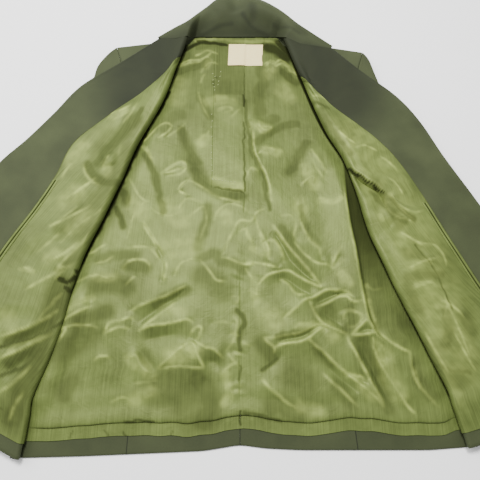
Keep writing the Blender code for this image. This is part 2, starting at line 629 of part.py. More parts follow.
def buttons(points, look, parts):
    """Flat buttons on the outer face of the open front, which lies on the table side."""
    for name, section in BUTTON_ROWS:
        i = int(np.argmin(np.abs(np.array(FRONT_SECTIONS) - section)))
        edge, inner = points[i, -1], points[i, SEAM_COLUMN]
        place = edge + (inner - edge) * BUTTON_INSET / np.linalg.norm(inner - edge)
        rim_heights = []
        for row in points[i - 1:i + 2]:
            from_edge = np.linalg.norm(row - row[-1], axis=1)[::-1]
            rim_heights.append(np.interp(BUTTON_INSET - BUTTON_RADIUS, from_edge, row[::-1, 2]))
        top = min(rim_heights) - 0.5 * OUTER_WALL - SEAM_GAP
        bpy.ops.mesh.primitive_cylinder_add(
            vertices=BUTTON_SIDES, radius=BUTTON_RADIUS, depth=BUTTON_THICK,
            location=(place[0], place[1], top - 0.5 * BUTTON_THICK),
        )
        made = bpy.context.object
        made.name = name
        made.data.name = name
        made.data.materials.append(look)
        for collection in list(made.users_collection):
            collection.objects.unlink(made)
        parts.objects.link(made)


# ---------------------------------------------------------------- sleeves and collar

def sleeve(name, side, table, front, look, parts):
    """A sleeve as a flat tube beside the body. Its top follows the armhole."""
    at = columns(table, SLEEVE_COLUMNS)
    at_front = columns(front, FRONT_COLUMNS)
    hole_x = smooth_at(at_front["side_x"], ARMHOLE_SECTIONS)
    hole_y = smooth_at(at_front["side_y"], ARMHOLE_SECTIONS)
    hole_z = smooth_at(at_front["leg_z"], ARMHOLE_SECTIONS) * MM
    shares = np.hypot(hole_x - hole_x[0], hole_y - hole_y[0])
    shares = shares / shares[-1]
    bow_x = hole_x - (hole_x[0] + shares * (hole_x[-1] - hole_x[0]))
    bow_y = hole_y - (hole_y[0] + shares * (hole_y[-1] - hole_y[0]))
    low = 0.5 * OUTER_WALL
    rings = []
    for section in np.linspace(0, len(table) - 1, SLEEVE_RINGS):
        row = {key: smooth_at(values, [section])[0] for key, values in at.items()}
        x = row["inner_x"] + shares * (row["outer_x"] - row["inner_x"]) + row["bow"] * bow_x
        y = row["inner_y"] + shares * (row["outer_y"] - row["inner_y"]) + row["bow"] * bow_y
        high = row["height"] * MM - low
        high = high + row["bow"] * (hole_z - high)
        across = np.array((row["outer_x"] - row["inner_x"], row["outer_y"] - row["inner_y"]))
        across /= np.linalg.norm(across)
        inner_rim, outer_rim = 0.5 * (low + high[0]), 0.5 * (low + high[-1])
        inner_out = across * (inner_rim - low) * (1 - row["bow"])
        outer_out = across * (outer_rim - low) * (1 - row["bow"])
        if section == 0:
            clear = side_at(front, y) + ARMHOLE_GAP
        else:
            clear = np.max([side_at(front, y + step) for step in BODY_STEPS], axis=0)
            clear = clear + ARMHOLE_GAP + (BODY_GAP - ARMHOLE_GAP) * (1 - row["bow"])
        x = np.maximum(x, clear)
        bottom = [(x[j], y[j], low) for j in range(len(x))]
        outer = [(x[-1] + outer_out[0], y[-1] + outer_out[1], outer_rim)]
        top = [(x[j], y[j], high[j]) for j in range(len(x) - 1, -1, -1)]
        inner = [(x[0] - inner_out[0], y[0] - inner_out[1], inner_rim)]
        rings.append(bottom + outer + top + inner)
    rings = np.array(rings)
    rings[..., 0] *= side
    return tube(name, rings, look, OUTER_WALL, parts)


def collar_seam(x):
    """The seam that joins the collar to the lapels and the neck: its place and height."""
    front = RIGHT_FRONT if x < 0 else LEFT_FRONT
    fold_x, fold_y, seam_x, seam_y, edge_x, edge_y = front[-1][2:8]
    fold_z, seam_z, edge_z = front[-1][9:12]
    out = abs(x)
    lapel_y = np.interp(out, (fold_x, seam_x, edge_x), (fold_y, seam_y, edge_y))
    lapel_z = np.interp(out, (fold_x, seam_x, edge_x), (fold_z, seam_z, edge_z)) * MM
    lapel_z += OUTER_OVER_OUTER
    on_neck = ease((fold_x - out) / NECK_CURVE)
    y = top_at(x, front) if out < fold_x else lapel_y
    return y + COLLAR_SEAM_GAP, lapel_z + (BACK_LINING_Z - lapel_z) * on_neck


def collar_points():
    """Middle of the upper collar's wall: sections by columns from the seam to the edge."""
    at = columns(COLLAR, COLLAR_COLUMNS)
    sections = np.linspace(0, len(COLLAR) - 1, COLLAR_SECTIONS)
    at = {name: smooth_at(values, sections) for name, values in at.items()}
    seam_y, seam_z = np.array([collar_seam(x) for x in at["seam_x"]]).T
    points = []
    for share in np.linspace(0, 1, 7):
        x = at["seam_x"] + share * (at["edge_x"] - at["seam_x"])
        y = seam_y + share * (at["edge_y"] - seam_y)
        z = seam_z / MM + share * (at["edge_z"] - seam_z / MM)
        z = z + at["roll_z"] * np.sin(np.pi * share**1.15)
        points.append(np.stack((x, y, z * MM), axis=1))
    return np.array(points)


def collar(outer, parts):
    upper = collar_points()
    normals = normals_of(upper, 1)
    sheet("collar_upper", upper, outer, OUTER_WALL, parts)
    sheet("collar_under", upper - normals * COLLAR_LAYERS, outer, OUTER_WALL, parts)


# ---------------------------------------------------------------- the garment

def clear_scene():
    for old in list(bpy.data.objects):
        bpy.data.objects.remove(old, do_unlink=True)


def centre_on_origin(parts):
    """Moves every mesh so that the middle of the garment's underside is the origin."""
    bpy.context.view_layer.update()
    graph = bpy.context.evaluated_depsgraph_get()
    corners = []
    for made in parts.objects:
        solid = made.evaluated_get(graph)
        corners += [solid.matrix_world @ vertex.co for vertex in solid.data.vertices]
    corners = np.array(corners)
    low, high = corners.min(axis=0), corners.max(axis=0)
    shift = np.array((-0.5 * (low[0] + high[0]), -0.5 * (low[1] + high[1]), -low[2]))
    for made in parts.objects:
        made.location = made.location + type(made.location)(shift)


def main():
    clear_scene()
    parts = bpy.data.collections.new("blazer")
    bpy.context.scene.collection.children.link(parts)
    outer = material("outer_cloth", OUTER_GREEN, 0.9, 0.15)
    lining = material("lining_satin", LINING_GREEN, 0.42)
    cream = material("label_cream", LABEL_CREAM, 0.85)
    plastic = material("button_plastic", BUTTON_GREEN, 0.4)
    for hand, side, front, sleeve_table, folds in (
        ("right", -1, RIGHT_FRONT, RIGHT_SLEEVE, RIGHT_FLAP_FOLDS),
        ("left", 1, LEFT_FRONT, LEFT_SLEEVE, LEFT_FLAP_FOLDS),
    ):
        back_panel(f"back_{hand}", side, 0.0, PRINCESS_SHARE, front, outer, parts)
        back_panel(f"side_back_{hand}", side, PRINCESS_SHARE, 1.0, front, outer, parts)
        back_lining(f"back_lining_{hand}", side, front, lining, parts)
        points = front_points(side, front)
        normals = normals_of(points, side)
        ups = up_from_hem(points)
        front_outer(f"front_{hand}", points, normals, ups, outer, parts)
        lining_points = front_lining(
            f"front_lining_{hand}", side, points, normals, ups, folds, lining, parts
        )
        front_facing(f"facing_{hand}", points, normals, ups, outer, parts)
        pocket_welt(f"welt_{hand}", side, lining_points, lining, parts)
        sleeve(f"sleeve_{hand}", side, sleeve_table, front, outer, parts)
        if hand == "left":
            buttons(points, plastic, parts)
    collar(outer, parts)
    neck_label(cream, parts)
    centre_on_origin(parts)


main()
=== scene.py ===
# %% [markdown]
# # A blazer laid open on its back
# The garment is cut from two cloths: a matte suiting outside and a satin lining inside.
# It lies on a table, lining up, with both fronts turned outward and the collar spread.
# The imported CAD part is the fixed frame, and says where each panel lies.
# This lesson sews a fine cloth over each of its solids, and gives it the look of its fabric.

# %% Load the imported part
import math
import bpy
import mathutils
import numpy as np
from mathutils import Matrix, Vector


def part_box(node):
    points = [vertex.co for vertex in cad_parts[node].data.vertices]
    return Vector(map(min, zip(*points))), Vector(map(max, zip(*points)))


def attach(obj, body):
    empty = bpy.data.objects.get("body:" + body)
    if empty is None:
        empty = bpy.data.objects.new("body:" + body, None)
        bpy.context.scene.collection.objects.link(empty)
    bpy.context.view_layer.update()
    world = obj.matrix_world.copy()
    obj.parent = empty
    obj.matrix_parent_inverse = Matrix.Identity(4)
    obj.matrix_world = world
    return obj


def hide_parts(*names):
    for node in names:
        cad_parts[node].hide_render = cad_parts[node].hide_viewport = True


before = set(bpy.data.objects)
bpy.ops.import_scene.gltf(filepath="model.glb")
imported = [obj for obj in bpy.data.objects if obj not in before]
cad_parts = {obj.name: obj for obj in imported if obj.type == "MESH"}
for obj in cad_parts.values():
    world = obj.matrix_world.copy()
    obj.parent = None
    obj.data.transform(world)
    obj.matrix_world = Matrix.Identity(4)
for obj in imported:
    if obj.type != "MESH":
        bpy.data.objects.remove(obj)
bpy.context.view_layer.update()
MM = 0.001

# %% [markdown]
# ## One frame for every panel
# Places on the garment are easiest to read from its own centre back and hem: x is the
# distance out from the centre back, y the distance up from the hem, z the height over the
# table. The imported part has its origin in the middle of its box, so one shift joins the two.
# The label is small and lies flat, which makes it a good place to measure that shift.

# %% Where the garment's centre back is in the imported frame
LABEL_BOX = dict(left=-0.018, right=0.0376, low=0.570, high=0.612)
label_low, label_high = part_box("label")
SHIFT = np.array((
    0.5 * (label_low.x + label_high.x - LABEL_BOX["left"] - LABEL_BOX["right"]),
    0.5 * (label_low.y + label_high.y - LABEL_BOX["low"] - LABEL_BOX["high"]),
    0.0,
))
print("shift from the centre back, m:", SHIFT.round(4))

# %% [markdown]
# ## The sizes of the cut
# These are the walls and the places of the seams, as in the part's own source. Each front
# has one row for a section from the hem to the collar: the side seam, the roll where the
# front turns over, the seam between lining and facing, and the front edge, with the heights
# of the cloth in millimetres.

# %% Sizes and sections of the cut
OUTER_WALL, LINING_WALL, SEAM_GAP = 1.2 * MM, 0.7 * MM, 0.3 * MM
LINING_OVER_OUTER, OUTER_OVER_OUTER = 1.5 * MM, 1.6 * MM
HEM_TURN_UP, HEM_FOLD, LINING_HEM = 38 * MM, 1.3 * MM, 18 * MM
HEM_RETURN, HEM_LIFT_AFTER, HEM_SETTLE = 1.9 * MM, 12 * MM, 20 * MM
BACK_HEM_Z, BACK_LINING_Z, BACK_LINING_OVER_HEM = 2.5 * MM, 2.7 * MM, 1.4 * MM
PLEAT_FOLD_X, PLEAT_STEP, PLEAT_FROM_Y, PLEAT_TO_Y = -41.5 * MM, 1.2 * MM, 0.352, 0.600
LINING_SEAM_X, LINING_SIDE_INSET, JUMP_PLEAT_FADE = 7 * MM, 3.2 * MM, 45 * MM
SEAM_INSET = 0.1 * SEAM_GAP
NECK_Y, NECK_CURVE, COLLAR_SEAM_GAP, COLLAR_LAYERS = 0.630, 14 * MM, 0.6 * MM, 2.0 * MM
OPEN_FADE, FOLDS_FADE = 22 * MM, 32 * MM
UNDERARM_ROW, LAST_ROW = 7, 10

HEM_LINE = (  # x, y
    (-0.281, -0.011), (-0.197, -0.009), (-0.120, -0.006), (-0.045, -0.003), (0.000, 0.004),
    (0.030, 0.000), (0.074, -0.002), (0.150, -0.002), (0.235, -0.002), (0.292, 0.002),
)
FRONT_COLUMNS = (
    "side_x", "side_y", "fold_x", "fold_y", "seam_x", "seam_y", "edge_x", "edge_y",
    "leg_z", "fold_z", "seam_z", "edge_z",
)
RIGHT_FRONT = (
    (0.281, -0.011, 0.270, -0.012, 0.432, 0.063, 0.520, 0.105, 9.5, 13.5, 4.5, 0.9),
    (0.277, 0.055, 0.264, 0.055, 0.405, 0.115, 0.488, 0.163, 9.0, 14.0, 7.5, 0.9),
    (0.272, 0.115, 0.247, 0.115, 0.379, 0.165, 0.456, 0.222, 7.5, 14.5, 9.0, 1.2),
    (0.266, 0.175, 0.234, 0.175, 0.354, 0.215, 0.424, 0.280, 7.0, 15.0, 9.0, 1.8),
    (0.259, 0.235, 0.220, 0.235, 0.330, 0.262, 0.392, 0.335, 7.0, 16.0, 9.0, 3.5),
    (0.253, 0.295, 0.197, 0.300, 0.296, 0.320, 0.360, 0.391, 7.0, 17.0, 9.5, 5.5),
    (0.249, 0.352, 0.176, 0.360, 0.271, 0.370, 0.321, 0.432, 7.0, 17.0, 10.0, 9.0),
    (0.246, 0.408, 0.152, 0.430, 0.249, 0.425, 0.285, 0.475, 7.5, 18.0, 12.0, 12.0),
    (0.198, 0.455, 0.122, 0.500, 0.198, 0.473, 0.247, 0.523, 9.0, 19.0, 14.0, 15.0),
    (0.180, 0.520, 0.104, 0.560, 0.118, 0.545, 0.188, 0.566, 11.0, 19.0, 16.0, 17.0),
    (0.200, 0.600, 0.087, 0.616, 0.104, 0.612, 0.129, 0.613, 12.0, 19.0, 18.0, 17.0),
)
LEFT_FRONT = (
    (0.292, 0.002, 0.281, 0.001, 0.413, 0.037, 0.500, 0.068, 9.5, 13.5, 5.5, 4.4),
    (0.283, 0.062, 0.268, 0.060, 0.388, 0.086, 0.464, 0.127, 9.0, 14.0, 7.5, 4.4),
    (0.274, 0.120, 0.246, 0.118, 0.363, 0.136, 0.431, 0.182, 7.5, 14.5, 9.0, 4.4),
    (0.266, 0.175, 0.224, 0.172, 0.338, 0.186, 0.398, 0.236, 7.0, 15.0, 9.0, 4.4),
    (0.259, 0.230, 0.204, 0.225, 0.316, 0.230, 0.365, 0.290, 7.0, 16.0, 9.0, 4.8),
    (0.253, 0.285, 0.184, 0.280, 0.291, 0.282, 0.336, 0.343, 7.0, 17.0, 9.5, 6.5),
    (0.249, 0.345, 0.172, 0.340, 0.267, 0.333, 0.303, 0.402, 7.0, 17.0, 10.0, 9.5),
    (0.246, 0.405, 0.156, 0.395, 0.239, 0.385, 0.274, 0.460, 7.5, 18.0, 12.0, 12.0),
    (0.197, 0.455, 0.128, 0.450, 0.203, 0.433, 0.241, 0.504, 9.0, 19.0, 14.0, 15.0),
    (0.180, 0.515, 0.103, 0.520, 0.119, 0.512, 0.190, 0.549, 11.0, 19.0, 16.0, 17.0),
    (0.198, 0.590, 0.074, 0.613, 0.098, 0.601, 0.148, 0.592, 12.0, 19.0, 18.0, 17.0),
)
SIDE_TURN = (  # mm out at the side seam and at the armhole, share of the height
    (0.9, -0.3, 0.0), (0.9, -1.2, 0.45), (-0.6, -2.1, 0.85), (-3.0, -3.0, 1.0),
)
EDGE_DROP_POWER = 4
HANDS = (("right", -1, RIGHT_FRONT), ("left", 1, LEFT_FRONT))  # the wearer's, and which way it runs
print("sections of a front:", len(RIGHT_FRONT), "and", len(LEFT_FRONT))

# %% [markdown]
# ## Smooth lines through few numbers
# A pattern cutter joins a few marked points with a curved ruler. `smooth_at` does the same:
# it reads a smooth curve through equally spaced values. `ease` starts and ends softly.

# %% Curves
def columns(table, names):
    values = np.array(table, float)
    return {name: values[:, i] for i, name in enumerate(names)}


def smooth_at(values, places):
    places = np.asarray(places, float)
    row = np.clip(places.astype(int), 0, len(values) - 2)
    t = places - row
    before, start = values[np.maximum(row - 1, 0)], values[row]
    end, after = values[row + 1], values[np.minimum(row + 2, len(values) - 1)]
    return start + 0.5 * t * (
        end - before
        + t * (2 * before - 5 * start + 4 * end - after + t * (3 * (start - end) + after - before))
    )


def ease(value):
    value = np.clip(value, 0.0, 1.0)
    return value * value * (3 - 2 * value)


def rounded(x, line_x, line_y, reach=8 * MM):
    """Reads a line through few points with its corners taken off."""
    low, middle, high = (np.interp(x + step * reach, line_x, line_y) for step in (-1, 0, 1))
    return 0.25 * low + 0.5 * middle + 0.25 * high


def hem_at(x):
    return rounded(x, *np.array(HEM_LINE).T)


def front_curve(front, name_y, name_x, y):
    """Reads one line of a front, such as its side seam, at heights y."""
    table = columns(front, FRONT_COLUMNS)
    places = np.linspace(0, LAST_ROW, 201)
    return np.interp(y, smooth_at(table[name_y], places), smooth_at(table[name_x], places))


def side_at(front, y):
    return front_curve(front, "side_y", "side_x", y)


def fold_line_at(front, y):
    return front_curve(front, "fold_y", "fold_x", y)


UP, LEVEL = np.array((0.0, 0.0, 1.0)), np.array((1.0, 1.0, 0.0))


def unit(arrows):
    return arrows / np.linalg.norm(arrows, axis=-1, keepdims=True)


def top_at(x, front):
    """The neck and shoulder line of the back."""
    tip_x, tip_y, point_x, point_y = front[-1][:4]
    slope = (point_y - tip_y) / (tip_x - point_x)
    shoulder = tip_y + slope * (tip_x - np.maximum(np.abs(x), point_x))
    return shoulder + (NECK_Y - shoulder) * ease((point_x - np.abs(x)) / NECK_CURVE)


print("back, neck to hem, m:", round(float(top_at(0, RIGHT_FRONT) - hem_at(0)), 3))

# %% [markdown]
# ## Colour and nodes
# Colours are given as sRGB hex values, and Blender mixes light in linear values, so
# one function turns the first into the second. Others add a shader node with its settings
# and links, which keeps each fabric's recipe short enough to read.

# %% Helpers for the materials
SHEEN_ROUGHNESS = 0.4


def linear(hex_colour):
    parts = [int(hex_colour[i:i + 2], 16) / 255 for i in (1, 3, 5)]
    return [c / 12.92 if c <= 0.04045 else ((c + 0.055) / 1.055) ** 2.4 for c in parts] + [1.0]


def feed(look, node, sources):
    """Links sources to the node's inputs. A node given as a source stands for its first output."""
    for key, source in sources.items():
        source = source.outputs[0] if isinstance(source, bpy.types.Node) else source
        look.node_tree.links.new(source, node.inputs[key])


def add_node(look, kind, settings=None, links=None):
    """Adds a node, sets its properties or unlinked inputs, and links other inputs."""
    node = look.node_tree.nodes.new(f"ShaderNode{kind}")
    for key, value in (settings or {}).items():
        if isinstance(key, str) and hasattr(node, key):
            setattr(node, key, value)
        else:
            node.inputs[key].default_value = value
    feed(look, node, links or {})
    return node


def new_material(name, roughness, specular=0.5, sheen=0.0, sheen_tint="#ffffff"):
    look = bpy.data.materials.new(name)
    look.use_nodes = True
    shader = look.node_tree.nodes["Principled BSDF"]
    shader.inputs["Roughness"].default_value = roughness
    shader.inputs["Specular IOR Level"].default_value = specular
    shader.inputs["Sheen Weight"].default_value = sheen
    shader.inputs["Sheen Roughness"].default_value = SHEEN_ROUGHNESS
    shader.inputs["Sheen Tint"].default_value = linear(sheen_tint)
    return look, shader


print("suiting green in linear light:", [round(v, 3) for v in linear("#6B7459")])

# %% [markdown]
# ## Satin lining
# A lining is woven from bright filament yarn, acetate or polyester, in a satin or fine twill.
# It gives the eye soft, broad highlights in the cloth's own colour, a fine grain along the
# warp, and thin bright lines on each wrinkle. The warp is drawn coarser than its real 0.1 mm
# threads, at 1.8 mm, so that it shows at the size of the picture. Patches of tone come from
# a slow noise. Light is lost in a deep gap between two cloths sooner than a few bounces of
# light show, so each panel carries a "hollow" value that darkens such places: painted shade.
# A "crest" value lightens its sharp ridges: a painted highlight, the thin bright lines.

# %% Lining material
SATIN_ROUGHNESS = 0.46
WARP_WIDTH, WARP_LENGTH = 1.8 * MM, 60 * MM  # really 0.1 mm: too fine for the picture
# The last of these sizes breaks the painted highlight on the ridges into pieces.
TONE_PATCH, FINE_CREASE, HIGHLIGHT_BREAK = 60 * MM, 14 * MM, 16 * MM


def hollow_mix(look, colour, depth):
    """Darkens a colour by the panel's own hollow value: painted shade."""
    hollow = add_node(look, "Attribute", {"attribute_name": "hollow"})
    return add_node(
        look, "Mix", {"data_type": "RGBA", "blend_type": "MIX", 7: linear(depth)},
        {0: hollow.outputs["Fac"], 6: colour},
    ).outputs[2]


def hollow_roughness(look, roughness):
    """A deep gap gives no gloss, so its roughness rises towards matt."""
    hollow = add_node(look, "Attribute", {"attribute_name": "hollow"})
    return add_node(
        look, "MapRange", {"To Min": roughness, "To Max": 1.0}, {"Value": hollow.outputs["Fac"]}
    )


def satin_lining():
    look, shader = new_material("satin_lining", SATIN_ROUGHNESS, specular=0.50)
    shader.inputs["Specular Tint"].default_value = linear("#D2DE90")
    place = add_node(look, "UVMap", {"uv_map": "cloth"})
    warp_scale = (1 / WARP_WIDTH, 1 / WARP_LENGTH, 1.0)
    warp_place = add_node(look, "Mapping", {"Scale": warp_scale}, {"Vector": place})
    warp = add_node(look, "TexNoise", {"Scale": 1.0, "Detail": 2.0}, {"Vector": warp_place})
    patches = add_node(
        look, "TexNoise", {"Scale": 1 / TONE_PATCH, "Detail": 3.0, "Roughness": 0.6}, {"Vector": place}
    )
    tone = add_node(look, "Math", {"operation": "MULTIPLY_ADD", 1: 0.60}, {0: warp, 2: patches})
    tone_range = add_node(look, "MapRange", {"From Min": 0.58, "From Max": 1.02}, {"Value": tone})
    colour = add_node(
        look, "Mix",
        {"data_type": "RGBA", "clamp_factor": True, 6: linear("#3F4924"), 7: linear("#5C6936")},
        {0: tone_range},
    )
    creases = add_node(
        look, "TexNoise",
        {"Scale": 1 / FINE_CREASE, "Detail": 4.0, "Roughness": 0.55, "Distortion": 0.6}, {"Vector": place},
    )
    crease_bump = add_node(look, "Bump", {"Strength": 0.35, "Distance": 1.5 * MM}, {"Height": creases})
    warp_bump = add_node(
        look, "Bump", {"Strength": 0.25, "Distance": 0.12 * MM},
        {"Height": warp, "Normal": crease_bump},
    )
    # Painted highlight: the crest value mixes a lighter green into the sharp ridges, broken up by a noise.
    crest = add_node(look, "Attribute", {"attribute_name": "crest"})
    uneven = add_node(look, "TexNoise", {"Scale": 1 / HIGHLIGHT_BREAK, "Detail": 1.0}, {"Vector": place})
    broken = add_node(
        look, "MapRange", {"From Min": 0.38, "From Max": 0.62, "To Min": 0.40},
        {"Value": uneven},
    )
    crest_share = add_node(look, "Math", {"operation": "MULTIPLY"}, {0: crest.outputs["Fac"], 1: broken})
    crest_highlight = add_node(
        look, "Mix", {"data_type": "RGBA", 7: linear("#8D9A50")},
        {0: crest_share, 6: colour.outputs[2]},
    )
    feed(look, shader, {
        "Base Color": hollow_mix(look, crest_highlight.outputs[2], "#020300"),
        "Roughness": hollow_roughness(look, SATIN_ROUGHNESS), "Normal": warp_bump,
    })
    return look


SATIN = satin_lining()
print("made", SATIN.name)

# %% [markdown]
# ## Suiting
# The outer cloth is a smooth twill suiting, wool with polyester: matte, a little lighter where
# the pressed surface turns to the light, and with a very fine diagonal. Its 0.5 mm twill lines
# are drawn at 1.4 mm and faint. A touch of sheen stands for the short nap.

# %% Suiting material
TWILL_LINE, TWILL_DEGREES = 1.4 * MM, 52  # really 0.5 mm: too fine for the picture
WAVE_LENGTH = 0.314  # a wave texture of scale 1 repeats after this length
FIBRE_CLUMP, WEAR_PATCH = 1.6 * MM, 70 * MM


def suiting():
    look, shader = new_material("suiting_twill", 0.80, specular=0.26, sheen=0.06, sheen_tint="#A9B59A")
    place = add_node(look, "UVMap", {"uv_map": "cloth"})
    diagonal = {"Rotation": (0.0, 0.0, math.radians(TWILL_DEGREES))}
    turned = add_node(look, "Mapping", diagonal, {"Vector": place})
    twill = add_node(
        look, "TexWave", {"Scale": WAVE_LENGTH / TWILL_LINE, "Distortion": 1.2, "Detail": 2.0},
        {"Vector": turned},
    )
    fibre = add_node(
        look, "TexNoise", {"Scale": 1 / FIBRE_CLUMP, "Detail": 3.0, "Roughness": 0.7}, {"Vector": place}
    )
    wear = add_node(look, "TexNoise", {"Scale": 1 / WEAR_PATCH, "Detail": 3.0}, {"Vector": place})
    tone = add_node(look, "Math", {"operation": "MULTIPLY_ADD", 1: 0.45}, {0: fibre, 2: wear})
    tone_range = add_node(look, "MapRange", {"From Min": 0.50, "From Max": 0.95}, {"Value": tone})
    colour = add_node(
        look, "Mix",
        {"data_type": "RGBA", "clamp_factor": True, 6: linear("#2E341E"), 7: linear("#3D4429")},
        {0: tone_range},
    )
    fibre_bump = add_node(look, "Bump", {"Strength": 0.25, "Distance": 0.25 * MM}, {"Height": fibre})
    twill_bump = add_node(
        look, "Bump", {"Strength": 0.18, "Distance": 0.20 * MM},
        {"Height": twill.outputs["Fac"], "Normal": fibre_bump},
    )
    # The hollow value darkens the suiting with painted shade at the hem, under the rolls, on the lapels
    # beside the neck and on the collar, and draws its seams dark.
    feed(look, shader, {"Base Color": hollow_mix(look, colour.outputs[2], "#040601"), "Normal": twill_bump})
    return look


SUITING = suiting()
print("made", SUITING.name)

# %% [markdown]
# ## Laying a cloth on its form
# A cut panel starts as Blender's grid primitive. Each corner of the grid is then laid at its
# place on the garment, so the panel keeps the rows and columns of its cut. Its UV map holds
# real lengths in metres along the cloth, which lets a weave keep its size. A Solidify
# modifier gives the wall, because seen from the edge cloth isn't a surface but a layer.

# %% The function that makes every panel
def measure(points):
    """Width, length and area of a cloth, measured along its grid of points."""
    along, up = np.diff(points, axis=1), np.diff(points, axis=0)
    width = float(np.nansum(np.linalg.norm(along, axis=2), axis=1).max())
    length = float(np.nansum(np.linalg.norm(up, axis=2), axis=0).max())
    area = float(np.nansum(np.linalg.norm(np.cross(along[:-1], up[:, :-1]), axis=2)))
    return width, length, area


def lay_cloth(name, points, wall, look, slot, rests_on, held="laid", tube=False, folds_of_cut=1,
              hollow=None, crest=None):
    """Makes a panel from rows of points, prints its cut, and returns its object."""
    rows, across = points.shape[:2]
    bpy.ops.mesh.primitive_grid_add(x_subdivisions=across - 1, y_subdivisions=rows - 1, size=1)
    panel = bpy.context.object
    panel.name = panel.data.name = f"{name}_cloth"
    gone = np.isnan(points[..., 0]).reshape(-1)  # a corner without a place is cut away
    panel.data.vertices.foreach_set("co", np.nan_to_num(points + SHIFT).reshape(-1))
    along, up = (np.linalg.norm(np.nan_to_num(np.diff(points, axis=axis)), axis=2) for axis in (1, 0))
    lengths = np.zeros((rows, across, 2))
    lengths[:, 1:, 0] = np.cumsum(along, axis=1)
    lengths[1:, :, 1] = np.cumsum(up, axis=0)
    cloth_map = panel.data.uv_layers.active
    cloth_map.name = "cloth"
    corners = np.zeros(len(panel.data.loops), np.int32)
    panel.data.loops.foreach_get("vertex_index", corners)
    cloth_map.data.foreach_set("uv", lengths.reshape(-1, 2)[corners].reshape(-1))
    for key, share in (("hollow", hollow), ("crest", crest)):
        share = np.zeros((rows, across)) if share is None else np.clip(share, 0, 1)
        panel.data.attributes.new(key, "FLOAT", "POINT")
        panel.data.attributes[key].data.foreach_set("value", share.astype(np.float32).reshape(-1))
    panel.data.materials.append(look)
    if gone.any() or tube:
        bpy.ops.object.mode_set(mode="EDIT")
        bpy.ops.mesh.select_all(action="DESELECT")
        bpy.ops.object.mode_set(mode="OBJECT")
        panel.data.vertices.foreach_set("select", gone)
        bpy.ops.object.mode_set(mode="EDIT")
        if gone.any():
            bpy.ops.mesh.delete(type="VERT")
        if tube:
            bpy.ops.mesh.select_all(action="SELECT")
            bpy.ops.mesh.remove_doubles(threshold=0.01 * MM)
            bpy.ops.mesh.normals_make_consistent(inside=False)
        bpy.ops.object.mode_set(mode="OBJECT")
    walls = panel.modifiers.new("wall", "SOLIDIFY")
    walls.thickness, walls.offset = wall, 0
    bpy.ops.object.modifier_apply(modifier="wall")
    bpy.ops.object.shade_smooth_by_angle(angle=math.radians(60))
    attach(panel, "root")
    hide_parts(name)
    width, length, area = measure(points)
    width *= folds_of_cut
    triangles = sum(len(face.vertices) - 2 for face in panel.data.polygons)
    print(f"{name}: {triangles} triangles, cut {1000 * width:.0f} x {1000 * length:.0f} mm, {area:.4f} m2")
    return panel


OUTER, LINING = (OUTER_WALL, SUITING, "outer_cloth"), (LINING_WALL, SATIN, "lining_satin")
print("cloths:", OUTER[2], "and", LINING[2])

# %% [markdown]
# ## Creases, lips and crumples
# A worn lining doesn't wave: it breaks into nearly flat facets that meet in thin ridges.
# Each crease here is a short line with a height. The cloth is stretched over
# all of them like a skin, which gives the flat facets between sharp ridges by itself.
# A lip is a ridge with one steep side, where cloth folds over itself. Under all of them lies
# a slow noise, because a worn lining is never quite flat between its creases.
# A cloth simulation could also find such forms, but not these ones at these places.

# %% Lines through a few places
END_SHARE = 0.22  # a crease fades in and out over this share of its length


def polyline(places):
    """A smooth line through places that are given as x,y pairs in mm."""
    places = np.array(places, float).reshape(-1, 2) * MM
    at = np.linspace(0, len(places) - 1, 6 * (len(places) - 1) + 1)
    return np.stack((smooth_at(places[:, 0], at), smooth_at(places[:, 1], at)), axis=1)


def nearest(x, y, line, reach):
    """For each point: distance to the line, share along it, and which side it is on."""
    away, along, hand = np.ones(np.shape(x)), np.zeros(np.shape(x)), np.ones(np.shape(x))
    low, high = line.min(axis=0) - reach, line.max(axis=0) + reach
    near = (x > low[0]) & (x < high[0]) & (y > low[1]) & (y < high[1])
    px, py = x[near], y[near]
    best, place, side = away[near], along[near], hand[near]
    for k, (start, end) in enumerate(zip(line[:-1], line[1:])):
        run = end - start
        off_x, off_y = px - start[0], py - start[1]
        share = np.clip((off_x * run[0] + off_y * run[1]) / (run @ run), 0, 1)
        gap = np.hypot(off_x - share * run[0], off_y - share * run[1])
        closer = gap < best
        best[closer] = gap[closer]
        place[closer] = (k + share[closer]) / (len(line) - 1)
        side[closer] = np.sign(run[0] * off_y - run[1] * off_x)[closer]
    away[near], along[near], hand[near] = best, place, side
    return away, along, hand


def ends_fade(along, least=0.0):
    """The height of a crease along its length, as a share."""
    return least + (1 - least) * ease(along / END_SHARE) * ease((1 - along) / END_SHARE)


def read_rows(at, known, rows):
    """Reads rows of numbers between the places where they are known."""
    return np.stack([np.interp(at, known, column) for column in rows.T], axis=-1)


print("a line through 3 places has", len(polyline((0,0, 20,5, 40,0))), "points")

# %% Cloth stretched over its creases
GRID_STEP, GRID_HOLD, GRID_LEVELS, RELAX_ROUNDS = 1.6 * MM, 30.0, (8, 4, 2, 1), 120
CREASE_END = 0.35  # a crease ends at this share of its height
VALLEY_GRIP = 0.05  # a ridge is sharp, and a valley hangs loose between its neighbours
SHARP_CREST = 2.5 * MM  # a ridge of this height shows a full light line


def line_samples(places, height):
    """Close points along a crease, with its height in mm fading at both ends."""
    line = polyline(places)
    steps = np.concatenate(([0], np.cumsum(np.linalg.norm(np.diff(line, axis=0), axis=1))))
    at = np.linspace(0, steps[-1], max(int(steps[-1] / (0.4 * GRID_STEP)), 8))
    heights = height * MM * ends_fade(at / steps[-1], CREASE_END)
    return read_rows(at, steps, line), heights, np.full(len(at), 1.0 if height > 0 else VALLEY_GRIP)


